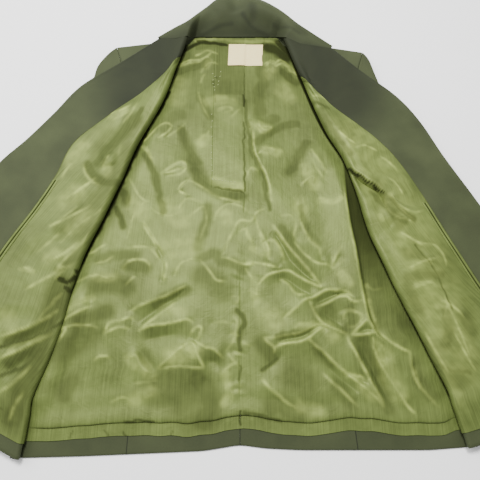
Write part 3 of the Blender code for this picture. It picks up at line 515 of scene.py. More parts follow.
def share_out(points, values, grips, low, step, shape):
    """Adds each value to the four grid points around it, and returns weights and totals."""
    place = (points - low) / step
    cell = np.floor(place).astype(int)
    part = place - cell
    weight, total = np.zeros(shape), np.zeros(shape)
    for dx, dy in ((0, 0), (0, 1), (1, 0), (1, 1)):
        share = grips * np.abs(1 - dx - part[:, 0]) * np.abs(1 - dy - part[:, 1])
        i = np.clip(cell[:, 0] + dx, 0, shape[0] - 1)
        j = np.clip(cell[:, 1] + dy, 0, shape[1] - 1)
        np.add.at(weight, (i, j), share)
        np.add.at(total, (i, j), share * values)
    return weight, total


def read_grid(grid, low, step, x, y):
    """Reads a grid of values between its points."""
    column = np.clip((x - low[0]) / step, 0, grid.shape[0] - 1.001)
    row = np.clip((y - low[1]) / step, 0, grid.shape[1] - 1.001)
    i, j = column.astype(int), row.astype(int)
    a, b = column - i, row - j
    lower = grid[i, j] * (1 - a) + grid[i + 1, j] * a
    upper = grid[i, j + 1] * (1 - a) + grid[i + 1, j + 1] * a
    return lower * (1 - b) + upper * b


def around(grid):
    padded = np.pad(grid, 1)
    return padded[:-2, 1:-1] + padded[2:, 1:-1] + padded[1:-1, :-2] + padded[1:-1, 2:]


def stretched(table, low, high, sag, softened=1):
    """Stretches cloth over its creases. Returns functions of x and y: height and crest share."""
    low = np.array(low)
    samples = [line_samples(places, height) for height, *places in table]
    points, values, grips = (np.concatenate(parts) for parts in zip(*samples))
    cloth, before = np.zeros((4, 4)), 1.0
    for level in GRID_LEVELS:
        step = GRID_STEP * level
        shape = tuple(np.ceil((np.array(high) - low) / step).astype(int) + 1)
        weight, total = share_out(points, values, grips, low, step, shape)
        hold, aim_at = GRID_HOLD * np.minimum(weight, 1), total / np.maximum(weight, 1e-9)
        x, y = np.meshgrid(*(low[k] + step * np.arange(shape[k]) for k in (0, 1)), indexing="ij")
        cloth, before = read_grid(cloth, low, before, x, y), step
        for _ in range(RELAX_ROUNDS):
            cloth = (around(cloth) + hold * aim_at) / (4 + (step / sag) ** 2 + hold)
    up = values > 0
    crest, _ = share_out(points[up], values[up], grips[up], low, step, shape)
    crest = np.clip(crest, 0, 1) * np.clip(cloth / SHARP_CREST, 0, 1)
    for _ in range(softened):
        crest = np.clip(0.7 * crest + 0.175 * around(crest), 0, 1)
        cloth = 0.5 * cloth + 0.125 * around(cloth)
    return [lambda x, y, grid=grid: read_grid(grid, low, step, x, y) for grid in (cloth, crest)]


# %% Slow noise and crumples
LATTICE, LATTICE_START = 97, 40


def lattice(column, row, seed):
    """Random heights from -1 to 1, the cell that each place lies in, and its place in the cell."""
    heights = np.random.default_rng(seed).uniform(-1, 1, (LATTICE + 1, LATTICE + 1))
    i, j = np.floor(column).astype(int), np.floor(row).astype(int)
    return heights, i % LATTICE, j % LATTICE, column - i, row - j


def slow_noise(x, y, size, seed):
    """Heights from -1 to 1 on a square lattice of this size, joined softly."""
    heights, i, j, a, b = lattice(x / size + LATTICE_START, y / size + LATTICE_START, seed)
    a, b = ease(a), ease(b)
    low = heights[i, j] * (1 - a) + heights[i + 1, j] * a
    high = heights[i, j + 1] * (1 - a) + heights[i + 1, j + 1] * a
    return low * (1 - b) + high * b


def facets(x, y, size, seed):
    """Heights from -1 to 1 on a lattice of triangles with flat faces between its points."""
    row = y / (0.87 * size) + LATTICE_START
    column = x / size + 0.5 * row + 0.5 * LATTICE_START
    heights, i, j, a, b = lattice(column, row, seed)
    near = heights[i, j] * (1 - a - b) + heights[i + 1, j] * a + heights[i, j + 1] * b
    far = heights[i + 1, j + 1] * (a + b - 1) + heights[i + 1, j] * (1 - b) + heights[i, j + 1] * (1 - a)
    return np.where(a + b < 1, near, far)


def crumple(x, y, seed):
    """Slow rises and flat facets of a lining long in wear, in metres."""
    bend_x = x + 10 * MM * slow_noise(x, y, 34 * MM, seed + 1)
    bend_y = y + 10 * MM * slow_noise(x, y, 34 * MM, seed + 2)
    large = facets(bend_x, bend_y, 52 * MM, seed + 3)
    small = facets(bend_y, bend_x, 21 * MM, seed + 4)
    where = ease(0.5 + 0.9 * slow_noise(x, y, 70 * MM, seed + 5))
    return MM * (0.8 * large + 0.35 * small * where + 0.5 * slow_noise(x, y, 80 * MM, seed))


here = np.zeros(1)
print("height of a crumple, m:", crumple(here, here, 11).round(4))

# %% Wrinkles, lips and strokes
WRINKLE_END = 0.25  # a soft wrinkle ends at this share of its height
STEEP = 6.0 * MM  # the steep side of a lip takes this much room
RAGGED, FRAY, STROKE_CORE = 1.8 * MM, 8 * MM, 1.35  # a stroke's ragged edge, and its full middle


def wrinkles(x, y, table):
    """Soft ridges and troughs. Rows are height in mm, half width in mm, then places."""
    up, down = np.zeros(np.shape(x)), np.zeros(np.shape(x))
    for height, half_width, *places in table:
        away, along, _ = nearest(x, y, polyline(places), half_width * MM)
        rise = height * MM * ends_fade(along, WRINKLE_END) * ease(1 - away / (half_width * MM))
        up, down = np.maximum(up, rise), np.minimum(down, rise)
    return up + down


def lips(x, y, table):
    """Rows are mm up and its fade, mm down and its fade, then places. Left of the line is up."""
    total = np.zeros(np.shape(x))
    for height, fade, depth, under_fade, *places in table:
        away, along, hand = nearest(x, y, polyline(places), max(fade, under_fade) * MM)
        beside = away * hand
        over = height * (1 - ease(beside / (fade * MM)))
        under = -depth * (1 - ease(-beside / (under_fade * MM)))
        on_top = ease(beside / STEEP + 0.5)
        total += MM * ends_fade(along) * (over * on_top + under * (1 - on_top))
    return total


def near_line(x, y, width, places):
    """1 on a line, falling to 0 at this many mm beside it."""
    away, along, _ = nearest(x, y, polyline(places), width * MM)
    return (1 - ease(away / (width * MM))) * (np.abs(along - 0.5) <= 0.5)


def strokes(x, y, table):
    """Soft strokes of painted shade, or of painted highlight, with ragged edges. Rows are share, width in mm,
    places.
    """
    ragged_x = x + RAGGED * slow_noise(x, y, FRAY, 61)
    ragged_y = y + RAGGED * slow_noise(x, y, FRAY, 62)
    total = np.zeros(np.shape(x))
    for share, width, *places in table:
        near = STROKE_CORE * near_line(ragged_x, ragged_y, width, places)
        total = np.maximum(total, share * np.clip(near, 0, 1))
    return total


print("crest of a 6 mm wrinkle, m:", wrinkles(here, here, ((6, 15, -20,0, 0,0, 20,0),)).round(4))

# %% [markdown]
# ## The back, outer side
# Four panels of suiting lie flat on the table: the two halves of the back and the two side
# backs, each with its hem turned up inside. The darker band at the hem is this turned-up
# cloth, because it shows beside the bright lining, with a little painted shade, because the
# hem faces away from the light. They are placed as the part places them, with more rows and
# columns, and the hem edge turns in a small round instead of a corner.

# %% Back panels
HEM_ROWS, ALLOWANCE_ROWS = (38, 34, 30, 26, 22, 18, 14, 10, 6, 3), (6, 12, 18, 24)  # mm
HEM_ROUND = (90, 54, 18, -18, -54, -90)
BESIDE = 0.0035  # share of a half back: about 1 mm beside the seam
TURN_UP_SWELL = 0.5 * MM  # the turned-up edge isn't pressed quite flat
HEM_SHADE, SEAM_SHADE = 0.10, 0.85  # the hem faces away from the light, a seam is drawn in


def up_the_back(x, share_up, front):
    low, high = hem_at(x), top_at(x, front)
    return low + share_up * (high - low)


def back_place(side, share_out, share_up, front):
    """A point of the back: how far out to the side, and how far up from the hem."""
    edge_y = front[0][1] + share_up * (front[-1][1] - front[0][1])
    edge_x = side * side_at(front, edge_y)
    to_edge = edge_y - up_the_back(edge_x, share_up, front)
    x = share_out * edge_x
    return x, up_the_back(x, share_up, front) + to_edge * share_out**2


def back_panel(name, side, from_share, to_share, front):
    shares = np.concatenate((
        [from_share], np.linspace(from_share + BESIDE, to_share - BESIDE, 34), [to_share],
    ))
    low_z = 0.5 * OUTER_WALL
    middle, reach = 0.5 * (BACK_HEM_Z + low_z), 0.5 * (BACK_HEM_Z - low_z)
    rows = [(up * MM, BACK_HEM_Z) for up in HEM_ROWS]
    for angle in np.radians(HEM_ROUND):
        rows.append((HEM_FOLD - reach * math.cos(angle), middle + reach * math.sin(angle)))
    rows += [(up, low_z) for up in np.linspace(6 * MM, NECK_Y, 90)]
    rows += [(NECK_Y + extra * MM, low_z) for extra in ALLOWANCE_ROWS]  # under the collar
    points = np.zeros((len(rows), len(shares), 3))
    for i, (up, z) in enumerate(rows):
        for j, share in enumerate(shares):
            x, y = back_place(side, share, min(up, NECK_Y) / NECK_Y, front)
            y += max(up - NECK_Y, 0) * float(ease((0.120 - abs(x)) / 0.03))
            inset = SEAM_INSET * ((j == 0) - (j == len(shares) - 1))
            points[i, j] = (x + side * inset, y, z)
    hem = points[:len(HEM_ROWS)]
    turned_up = np.linspace(1, 0, len(HEM_ROWS))[:, None]
    hem[..., 2] += TURN_UP_SWELL * turned_up * (1 + slow_noise(hem[..., 0], hem[..., 1], 30 * MM, 5))
    # Painted shade on the hem, which faces away from the light, and dark lines at the seams.
    hem_shade_and_seams = np.zeros(points.shape[:2])
    hem_shade_and_seams[:len(HEM_ROWS) + len(HEM_ROUND)] = HEM_SHADE
    hem_shade_and_seams[:, (0, -1)] = SEAM_SHADE
    return lay_cloth(name, points, *OUTER, ["table"], hollow=hem_shade_and_seams)


for hand, side, front in HANDS:
    back_panel(f"back_{hand}", side, 0.0, 0.5, front)
    back_panel(f"side_back_{hand}", side, 0.5, 1.0, front)

# %% [markdown]
# ## The back, lining
# The lining is cut a little longer and wider than the back. The spare width is folded into a
# centre-back pleat, held with small tacks, and the spare length hangs over its own hem as a
# jump pleat. Inside the open fronts it puffs up in the wrinkles that wear has given it.
# Every crease that shows in the picture is a row here. Its places are x,y pairs in mm.

# %% Wrinkles of the back lining
BACK_CREASES = (  # height in mm, then places; below 0 is a valley
    # neck and yoke
    (3.2, -102,570, -88,579, -66,580, -53,588, -46,600), (2, -63,558, -55,570, -46,576, -36,573),
    (3.2, 36,570, 46,576, 56,573, 66,580, 81,570, 93,558), (-1.5, 68,561, 82,546, 92,540),
    (-1.8, -99,556, -85,561, -70,570), (-1.8, 33,555, 38,526, 28,497, 35,472, 46,467),
    (1.8, -66,520, -59,494, -48,472),
    # right half above the waist
    (3.4, -152,429, -141,439, -126,456, -112,462, -105,458), (2.6, -105,458, -111,447, -125,437),
    (3.2, -155,426, -142,416, -132,397), (-1.8, -83,456, -80,429, -70,403, -58,382, -42,362),
    (-1.6, -134,390, -125,364, -121,333), (2.4, -117,377, -104,387, -88,396, -83,387),
    (2.2, -117,377, -101,380, -83,387), (2.2, -73,369, -87,357, -88,347, -75,342),
    (2.6, -71,364, -50,350, -30,337, 1,330), (1, -34,483, -20,491, -13,486, -25,480), (1.4, -15,472, 1,489),
    # left half above the waist
    (2.2, 28,469, 32,456, 41,450, 49,458), (1.8, 27,410, 39,418, 50,418, 59,413),
    (-1.4, 36,434, 63,450, 87,467), (-1.8, 74,382, 84,408, 104,437), (2, 108,418, 119,397, 129,377),
    (2, 89,357, 106,372, 115,364), (-2.6, 9,483, 13,461, 15,439, 20,413, 27,395, 35,369, 39,335),
    (3, 20,456, 22,418, 31,390, 38,377, 44,352, 46,332),
    # right half below the waist
    (2.2, -190,266, -204,256, -213,252), (2.2, -177,248, -189,240, -202,238),
    (3.2, -164,228, -157,238, -147,243, -135,242, -128,237),
    (3.2, -224,211, -211,217, -195,220, -185,217, -171,219), (1.6, -157,207, -150,215, -145,219),
    (2.6, -139,302, -135,290, -124,274, -118,260), (-1.5, -118,266, -111,252, -108,238, -108,211),
    (2, -102,244, -103,228, -105,211), (2.4, -230,174, -216,180, -203,187),
    (3.2, -236,157, -224,165, -212,172, -200,178), (2.4, -239,145, -229,149, -219,151, -205,152, -190,149),
    (2, -238,130, -232,142, -229,149), (3, -180,140, -172,145, -161,149, -147,147),
    (3.6, -180,140, -174,154, -160,158, -148,162, -143,159),
    (4.4, -147,170, -135,178, -117,185, -99,192, -85,200, -74,206),
    (-1.6, -133,156, -120,167, -106,178, -90,187, -76,200),
    (3.2, -134,145, -124,154, -112,163, -98,174, -86,183),
    (4.4, -134,145, -119,151, -101,153, -87,156, -72,159, -63,156), (-1.4, -125,133, -107,137, -86,140),
    (2.6, -57,244, -47,232, -40,223, -32,213, -19,212), (2.6, -27,246, -16,244, 3,237, 20,236),
    (1.6, -8,290, -18,268, -25,250), (4.6, -108,94, -102,100, -87,114, -70,128),
    (4.2, -70,128, -62,128, -55,112, -47,97), (2.6, -108,94, -95,97, -77,99, -60,97, -47,97),
    (-1.6, -43,104, -32,105, -27,95), (3.4, -59,130, -46,123, -34,120, -22,109),
    (2.2, -68,135, -61,147, -52,149, -54,137, -61,131),
    (3.2, -147,107, -136,112, -129,99, -120,92, -111,89), (-1.4, -134,121, -123,107, -112,95),
    (1.8, -191,106, -184,111, -174,111, -170,107), (1.6, -127,57, -110,65, -107,70),
    (-1.6, -194,140, -212,105, -221,80, -230,64), (-1.2, -54,35, -49,72, -37,89),
    # left half below the waist
    (4.2, 47,294, 56,280, 65,266, 74,254, 85,240, 96,226, 104,215, 111,206),
    (-1.6, 51,282, 61,262, 70,244, 86,225, 99,213),
    (2.6, 77,270, 84,258, 93,248, 107,238, 120,236, 129,230), (2.4, 7,237, 23,238, 42,234, 55,231),
    (4.6, 25,207, 34,217, 45,223, 59,226, 68,226, 79,219, 89,213, 100,208, 111,204),
    (-1.6, 60,217, 69,211, 85,200, 96,192), (1.8, 55,215, 67,207, 76,194, 90,194),
    (4.4, 58,161, 68,169, 81,180, 88,186, 99,189, 111,196, 120,200, 133,199, 145,197, 152,190),
    (-1.2, 103,181, 121,189, 138,194, 149,192),
    (3.2, 98,175, 110,178, 121,183, 132,190, 145,191, 150,185, 157,183, 165,185),
    (3.8, 94,185, 98,175, 102,165, 110,154, 117,150, 129,145, 141,140), (-1.4, 111,169, 123,160, 135,151),
    (1.8, 139,160, 140,167, 145,170, 160,167, 163,160, 158,152),
    (3.4, 148,139, 158,149, 169,158, 176,151, 184,143), (2.8, 148,139, 164,139, 184,143),
    (-1, 159,143, 169,146, 175,144), (3.2, 112,152, 101,152, 87,145, 72,140, 58,138, 43,135, 31,135),
    (-1.4, 106,149, 94,143, 83,137, 68,134, 54,131),
    (3.2, 115,149, 103,145, 91,135, 79,130, 66,129, 54,126, 45,123), (2.6, 31,135, 38,128, 45,123, 45,116),
    (4.4, 91,133, 100,124, 110,116, 120,105, 131,95, 143,85, 156,75, 167,65, 176,57, 182,48),
    (-1.8, 93,128, 101,116, 109,105, 117,95, 132,80, 150,64), (2, 136,90, 148,87, 158,84, 159,75),
    (2.6, 108,89, 118,79, 129,69, 141,57, 150,49),
    (4.4, 141,138, 146,126, 152,114, 158,100, 164,89, 169,75, 177,62, 182,51),
    (-1.8, 157,131, 168,104, 177,84, 185,64, 194,45),
    (4.8, 175,135, 177,117, 182,102, 191,84, 200,69, 211,51, 220,41), (1.8, 178,130, 188,123, 190,109),
    (3.4, 184,143, 192,135, 201,128, 212,121, 222,117), (2.6, 222,117, 223,97, 225,84, 232,70, 240,61),
    (-1.4, 55,114, 45,102, 34,95), (2.8, 27,84, 37,72, 47,64, 55,57, 64,51, 75,46),
    (-1.2, 28,43, 37,53, 45,58, 54,57), (2.2, 24,302, 26,290, 30,280, 39,262, 40,244),
    (2.6, 39,272, 50,270, 57,256, 61,242), (1.6, 89,290, 98,276, 107,262, 114,258),
    (1.6, 143,262, 132,244, 129,230, 145,242), (1.8, 7,230, 16,217, 23,206, 21,185),
    (1.4, 9,290, 11,276, 20,270),
    # light lines of the middle
    (1.6, -151,424, -142,420, -135,407, -130,395),
    (1.6, -116,375, -104,386, -86,396, -81,386, -91,375, -108,374),
    (1.2, -90,350, -82,361, -72,364, -54,353, -39,341),
    (1.6, -131,322, -120,314, -105,309, -91,312, -88,322, -81,333, -72,336, -54,328),
    (1.4, -139,301, -131,288, -123,275, -112,260, -107,249),
    (1.2, -160,275, -156,296, -152,312, -141,328, -131,333), (1.5, -164,369, -155,353, -147,339, -136,331),
    (1.2, -82,296, -71,309, -56,322, -51,320, -48,301, -53,285, -59,265),
    (1.3, -38,301, -31,317, -16,328, 4,322, 14,312),
    (1.7, -23,252, -18,267, -11,283, -1,301, 16,301, 24,314, 36,320),
    (1.3, 58,309, 73,309, 80,296, 77,280, 81,270), (1.5, 21,312, 26,290, 33,262, 40,244),
    (1.2, -1,285, 9,288, 16,270, 23,260), (1.7, 61,239, 59,254, 52,267, 40,271, 33,267),
    (1.5, 81,328, 87,301, 94,280, 103,265, 112,260),
    (1.4, -158,260, -144,262, -127,260, -117,249, -109,239),
    (1.7, -161,227, -157,239, -143,243, -128,239, -125,227), (1.4, -91,220, -83,237, -68,244, -59,244),
    (1.6, 15,466, 25,457, 35,445, 49,454, 38,457, 28,456), (1.4, 11,375, 17,386, 27,381),
    (1.3, 105,407, 114,386, 126,366), (1.2, -112,439, -96,451, -84,463), (1, -59,430, -51,442, -46,454),
    (1.2, -107,249, -108,234, -107,217),
    # puckers beside the centre seam
    (1.3, -10,165, -4,156, -6,144, -8,133, -15,122, -18,118), (1.5, -16,115, -10,107, -1,98),
    (1, 3,129, 15,124), (1.5, -6,104, -19,94, -25,83), (1.5, -19,74, -12,70, -10,60, -14,49),
    (1.1, -11,191, -1,189, -8,179), (1.1, -38,154, -24,156, -8,154), (1, -13,140, 1,138),
    (0.9, -10,115, 3,113), (0.9, -10,77, 3,74), (0.9, -10,68, 3,67), (1.2, -136,77, -120,79, -107,81),
    (1, -164,54, -150,60, -134,56),
    # neck
    (2, -96,595, -99,587, -101,580), (1.6, -71,589, -55,599, -47,599, -38,593),
    (2.2, -55,567, -52,574, -46,578), (1.8, 42,555, 46,563, 50,568),
    (1.3, -36,484, -27,491, -14,491, -12,484), (1.2, -56,555, -60,548, -63,537),
    (1.4, 172,209, 181,200, 195,202), (1.8, 172,204, 175,181, 181,157, 184,144),
    (1.4, 134,170, 145,172, 158,168, 162,159, 153,150, 144,150),
    (1.6, 179,128, 187,122, 191,111, 186,105, 180,111, 178,126), (1.2, 226,99, 231,74, 244,56, 252,48),
    (1, 114,242, 110,262, 99,274), (1.2, 135,86, 148,86, 155,76), (1, 128,247, 133,233, 139,245),
)
BACK_RISE, BACK_CREST = stretched(BACK_CREASES, (-0.30, 0.0), (0.31, 0.65), 60 * MM)
print(len(BACK_CREASES), "creases in the back lining")

# %% Painted shade and painted highlights of the back lining
BACK_LIPS = (  # the puffed edge beside the left roll: its outer side is steep
    (5, 46, 1.2, 12, 205,120, 185,138, 175,157, 170,195, 167,233, 164,264, 160,292, 157,331, 157,386,
     156,410),
)
PUFF_EDGE = (  # the same edge again, to know what lies in the dark gap beside it
    (0.120, 0.205), (0.138, 0.185), (0.157, 0.175), (0.195, 0.170), (0.233, 0.167), (0.264, 0.164),
    (0.292, 0.160), (0.331, 0.157), (0.400, 0.156),
)
RIGHT_EDGE_PUFF, RIGHT_EDGE_FADE = 6.5 * MM, 26 * MM  # the right half swells up against the roll
# Painted shade: dark strokes in the creases, beside the rolls and under the neck.
BACK_HOLLOWS = (  # darkness, width in mm, places
    (0.35, 12, 186,200, 192,170, 200,148, 214,130),
    (0.45, 5, 9,505, 11,470, 15,442, 18,414, 25,395, 33,379, 37,359, 39,340, 43,318),
    (0.3, 16, -86,437, -76,416, -69,397, -56,369, -41,354, -19,345),
    (0.8, 5, 171,376, 173,331, 175,297, 180,276, 188,259, 198,240),
    (0.9, 6, -114,520, -125,491, -139,466, -144,448, -154,422, -167,388, -178,352, -190,319, -202,288,
     -217,256, -226,230),
    (0.92, 17, 64,618, 75,606, 85,593), (0.88, 20, 46,606, 60,599, 74,587),
    (0.92, 8, -90,604, -71,615, -48,616, -23,611), (0.45, 12, -68,606, -49,612, -29,606),
    (0.5, 14, -101,560, -81,566, -59,572, -53,578), (0.6, 15, 69,559, 79,548, 89,539),
    (0.45, 20, 33,563, 38,541, 30,519, 32,484), (0.5, 2.5, 7,563, 6,537, 6,514),
    (0.75, 4, 5,514, 6,501, 6,493), (0.4, 2.5, -36,537, -38,519, -39,501),
    (0.4, 14, -64,510, -54,491, -48,476), (0.3, 18, -69,541, -63,519), (0.3, 22, -34,555, -13,548, 2,537),
    (0.6, 4, -40,550, -37,546), (0.5, 5, -43,541, -41,533), (0.38, 12, -91,451, -82,427, -71,407, -63,395),
    (0.4, 13, -68,383, -62,366, -47,353, -32,344, -11,341, 4,339),
    (0.42, 9, -144,409, -132,386, -123,361, -116,333, -110,314), (0.38, 12, 27,430, 46,445, 68,460, 89,463),
    (0.38, 12, 103,430, 92,412, 81,392, 73,378), (0.55, 8, -181,322, -172,306, -166,293),
    (0.5, 12, -181,353, -170,344, -166,331), (0.38, 13, -198,244, -172,249, -146,249),
    (0.3, 18, -118,454, -105,473, -92,479), (0.38, 16, 28,479, 41,470, 55,473),
    (0.3, 8, 88,322, 94,290, 110,267), (0.34, 10, 60,290, 71,265, 85,247, 96,229),
    (0.3, 12, -46,322, -48,301, -55,275, -59,260), (0.38, 14, -156,234, -145,234, -130,229),
    (0.3, 13, -54,247, -35,252, -30,244), (0.32, 12, -25,239, -8,237, 4,227),
    (0.6, 3, -35,353, -16,349, 4,346), (0.5, 2.5, 6,466, 6,424, 7,386, 6,350),
    (0.45, 22, -199,205, -178,208, -156,203), (0.5, 18, -217,156, -197,163, -179,170),
    (0.42, 26, -235,115, -218,126, -199,140), (0.5, 13, -113,179, -95,191, -74,200),
    (0.22, 16, -120,142, -97,144, -70,147), (0.3, 14, -48,118, -35,111, -26,107),
    (0.5, 26, -54,81, -43,68, -38,47, -46,33), (0.4, 44, -98,77, -76,68, -58,47),
    (0.4, 14, -127,113, -115,98), (0.45, 18, -217,79, -224,64),
    (0.6, 5, -4,172, 6,158, 1,144, -1,133, 1,120), (0.45, 16, 28,129, 37,118, 41,111),
    (0.5, 8, 51,135, 69,140, 92,144), (0.6, 5, 30,94, 39,100, 48,107), (0.42, 20, 40,47, 55,49, 72,39),
    (0.42, 22, 105,174, 119,172), (0.5, 8, 98,120, 109,107, 117,100), (0.3, 24, -53,222, -34,213, -22,198),
    (0.3, 26, 67,85, 89,77), (0.75, 3, -143,31, -126,32, -109,31), (0.6, 4, 5,42, 25,38, 51,31),
    (0.5, 3, 0,98, 0,81), (0.7, 2.5, 0,43, 1,27), (0.55, 2.5, -212,12, -208,19),
    (0.5, 2.5, -168,21, -164,12), (0.6, 2.5, -145,20, -141,15), (0.55, 2.5, -87,13, -85,20),
    (0.55, 5, 167,330, 166,279, 167,242, 169,216), (0.5, 8, 184,228, 196,214, 209,202),
    (0.55, 6, 208,200, 219,172, 230,150), (0.4, 12, 148,172, 151,155, 141,146),
    (0.45, 14, 162,133, 173,103, 182,66, 188,46), (0.4, 10, 151,133, 158,111),
    (0.4, 12, 98,126, 112,105, 119,101), (0.35, 16, 125,72, 139,56), (0.4, 12, 204,155, 197,175, 189,191),
    (0.35, 14, 229,103, 230,82, 245,62), (0.97, 6, 64,623, 70,617, 77,610),
    (0.85, 5, -69,621, -61,621, -52,617), (0.6, 5, -52,616, -35,614, -23,612),
    (0.7, 4, 15,614, 26,615, 38,614), (0.65, 5, -93,604, -86,610),
)
# Painted highlights: light strokes along the ridges, mixed in through the crest value.
BACK_LIGHTS = (  # lightness, width in mm, places
    (0.55, 5, -72,622, -42,625, 7,620, 62,619), (0.8, 3, -101,570, -84,576, -70,576, -53,587),
    (0.8, 3, -71,589, -55,599, -47,599, -38,593),
    (0.9, 3.5, 41,568, 51,578, 58,570, 72,572, 84,561, 96,554), (0.55, 13, -53,501, -37,505, -13,501),
    (0.5, 15, 47,563, 45,554), (0.45, 22, 69,526, 76,514), (0.5, 9, -50,578, -55,567),
    (0.35, 25, -97,537, -100,510), (0.55, 13, -59,430, -54,436), (0.6, 12, -37,364, -22,358, -1,355),
    (0.45, 18, -156,328, -140,312), (0.45, 14, 22,460, 41,454), (0.55, 12, 38,415, 56,412),
    (0.5, 14, 99,386, 110,358), (0.45, 18, 86,328, 88,312), (0.35, 30, -96,260, -69,262),
    (0.45, 14, -21,312, -19,301), (0.35, 22, -108,322, -85,301), (0.45, 10, 18,260, 32,252),
    (0.5, 8, -228,174, -213,184, -200,189), (0.5, 10, -200,216, -172,217),
    (0.55, 14, -140,107, -126,98, -117,89), (0.45, 14, -134,58, -113,66),
    (0.6, 20, -91,109, -71,113, -64,118), (0.55, 9, -19,89, -14,68, -19,54), (0.4, 10, 20,213, 22,181),
    (0.45, 22, 36,165, 47,156), (0.5, 9, 79,149, 104,151), (0.45, 14, 77,49, 98,43),
    (0.4, 13, -103,172, -80,170), (0.5, 8, 116,333, 133,330, 145,335), (0.4, 14, 140,223, 146,209),
    (0.5, 14, 117,146, 123,137), (0.45, 18, 187,114, 192,86, 203,64), (0.45, 10, 179,128, 186,111),
    (0.5, 6, 173,204, 175,177, 181,150), (0.4, 14, 157,76, 167,64),
)
JUMP_LINE = (  # x, y of the jump pleat's lower edge
    (-0.277, 0.0248), (-0.232, 0.0253), (-0.175, 0.0295), (-0.110, 0.0318), (-0.061, 0.0290),
    (0.004, 0.0395), (0.027, 0.0370), (0.0525, 0.0310), (0.096, 0.0310), (0.135, 0.0370),
    (0.155, 0.0375), (0.200, 0.0310), (0.257, 0.0325), (0.268, 0.0380),
)
AIR_UNDER_LINING = 1.6 * MM  # the lining's slack holds it this far off the back
print(len(BACK_HOLLOWS), "dark strokes and", len(BACK_LIGHTS), "light ones")

# %% [markdown]
# ## Pleats, gathers and the centre seam
# The jump pleat is a real fold here: the rows of the grid go up behind it, come back down,
# and go up again in front, so its lower edge hangs over the hem and throws a shadow, which
# painted shade under the fold deepens.
# Under the neck seam the strip above the label is gathered in small uneven folds, and the
# centre seam below the pleat is drawn in, with puckers across it.

# %% Shade and height of the back lining
BACK_CRUMPLE = 0.8  # share of a full crumple
GAP_SHADE, GAP_WIDTH = 0.95, 2.4 * MM  # the gap under a roll is nearly black
GAP_FROM_Y, GAP_TO_Y = 0.125, 0.415  # the gap beside the puffed edge opens and closes here
YOKE_FROM_X, YOKE_TO_X, YOKE_FROM_Y = -0.041, 0.012, 0.512  # the shaded top of the pleat
FAR_SHADE, YOKE_SHADE = 0.27, 0.42  # the neck lies deepest between the fronts
SEAM_DEPTH, PUCKER_HEIGHT, GATHER_HEIGHT = 0.5 * MM, 1.5 * MM, 0.9 * MM


def lining_seam_x(y):
    """The lining's centre seam leaves the middle and runs beside the pleat."""
    return LINING_SEAM_X * ease((y - 0.20) / 0.15)


def lining_relief(x, y):
    """What wrinkles, troughs and slack add to the back lining's height."""
    relief = AIR_UNDER_LINING + BACK_RISE(x, y) + lips(x, y, BACK_LIPS) + BACK_CRUMPLE * crumple(x, y, 11)
    beside = x - lining_seam_x(y)
    seam = np.exp(-(beside / (1.1 * MM)) ** 2) * ease((0.345 - y) / 0.02)
    puckers = np.exp(-((beside + 5 * MM) / (10 * MM)) ** 2) * facets(0.6 * x, y, 8 * MM, 31)
    puckers = puckers * ease(0.4 + slow_noise(x, y, 24 * MM, 33))
    seam = seam * ease(0.45 + slow_noise(x, y, 30 * MM, 35))
    relief = relief - SEAM_DEPTH * seam + PUCKER_HEIGHT * puckers * ease((0.300 - y) / 0.10)
    return np.maximum(relief, -0.3 * MM)


def lining_hollow(x, y, side, front):
    """Where the gaps under the rolls, the neck and the jump pleat keep the light out."""
    dark = strokes(x, y, BACK_HOLLOWS) * (0.84 + 0.16 * ease((y - 0.26) / 0.08))
    to_roll = fold_line_at(front, y) - side * x
    to_roll = to_roll / (0.75 + 0.6 * slow_noise(0 * x, y, 26 * MM, 97))
    under_roll = GAP_SHADE * (1 - ease(to_roll / GAP_WIDTH))
    if side < 0:
        under_roll = under_roll * ease((y - 0.222) / 0.02)
    else:
        in_gap = ease((x - np.interp(y, *np.array(PUFF_EDGE).T) + 2 * MM) / (2.5 * MM))
        in_gap = in_gap * (0.34 + 0.50 * ease((y - 0.18) / 0.10))
        dark = np.maximum(dark, in_gap * ease((y - GAP_FROM_Y) / 0.03) * ease((GAP_TO_Y - y) / 0.02))
    far_up = FAR_SHADE * ease((y - 0.40) / 0.14)
    yoke = YOKE_SHADE * ease((y - YOKE_FROM_Y) / (3 * MM)) * ease((x - YOKE_FROM_X) / (3 * MM))
    yoke = yoke * ease((YOKE_TO_X - x) / (6 * MM))
    return np.max((dark, far_up, under_roll, yoke), axis=0)


def back_lining_height(x, y, y_up, side, front):
    """The lining's height over the table, and how far a place lies inside the open fronts."""
    z = BACK_LINING_Z + BACK_LINING_OVER_HEM * (1 - ease((y_up - HEM_TURN_UP) / HEM_SETTLE))
    open_part = ease((fold_line_at(front, y) - side * x) / OPEN_FADE)
    above_hem = ease((y_up - HEM_TURN_UP - 4 * MM) / FOLDS_FADE)
    below_neck = ease((NECK_Y - y) / FOLDS_FADE)
    z = z + lining_relief(x, y) * open_part * above_hem * below_neck
    if side < 0:
        to_roll = fold_line_at(front, y) + x
        swell = ease((to_roll + 2 * MM) / (4 * MM)) * (1 - ease((to_roll - 7 * MM) / RIGHT_EDGE_FADE))
        z = z + RIGHT_EDGE_PUFF * swell * ease((0.225 - y) / 0.04) * above_hem
    gathers = np.clip(slow_noise(x, 0.02 * y, 5.5 * MM, 47), -0.4, 1) * ease((x + 0.085) / 0.02)
    z = z + GATHER_HEIGHT * gathers * ease((y - 0.606) / 0.012) * open_part
    return z, open_part


def pleat_lift(x, y):
    """The centre pleat lies one layer higher on one side of its fold."""
    low = PLEAT_FROM_Y - 0.11 * (x - PLEAT_FOLD_X)
    on_pleat = ease((y - low) / (3 * MM)) * ease((PLEAT_TO_Y + 0.02 - y) / (20 * MM))
    return PLEAT_STEP * ease((x - PLEAT_FOLD_X) / (0.5 * MM) + 0.5) * on_pleat


print("the pleat lifts the lining by, m:", pleat_lift(PLEAT_FOLD_X + MM, PLEAT_TO_Y).round(4))
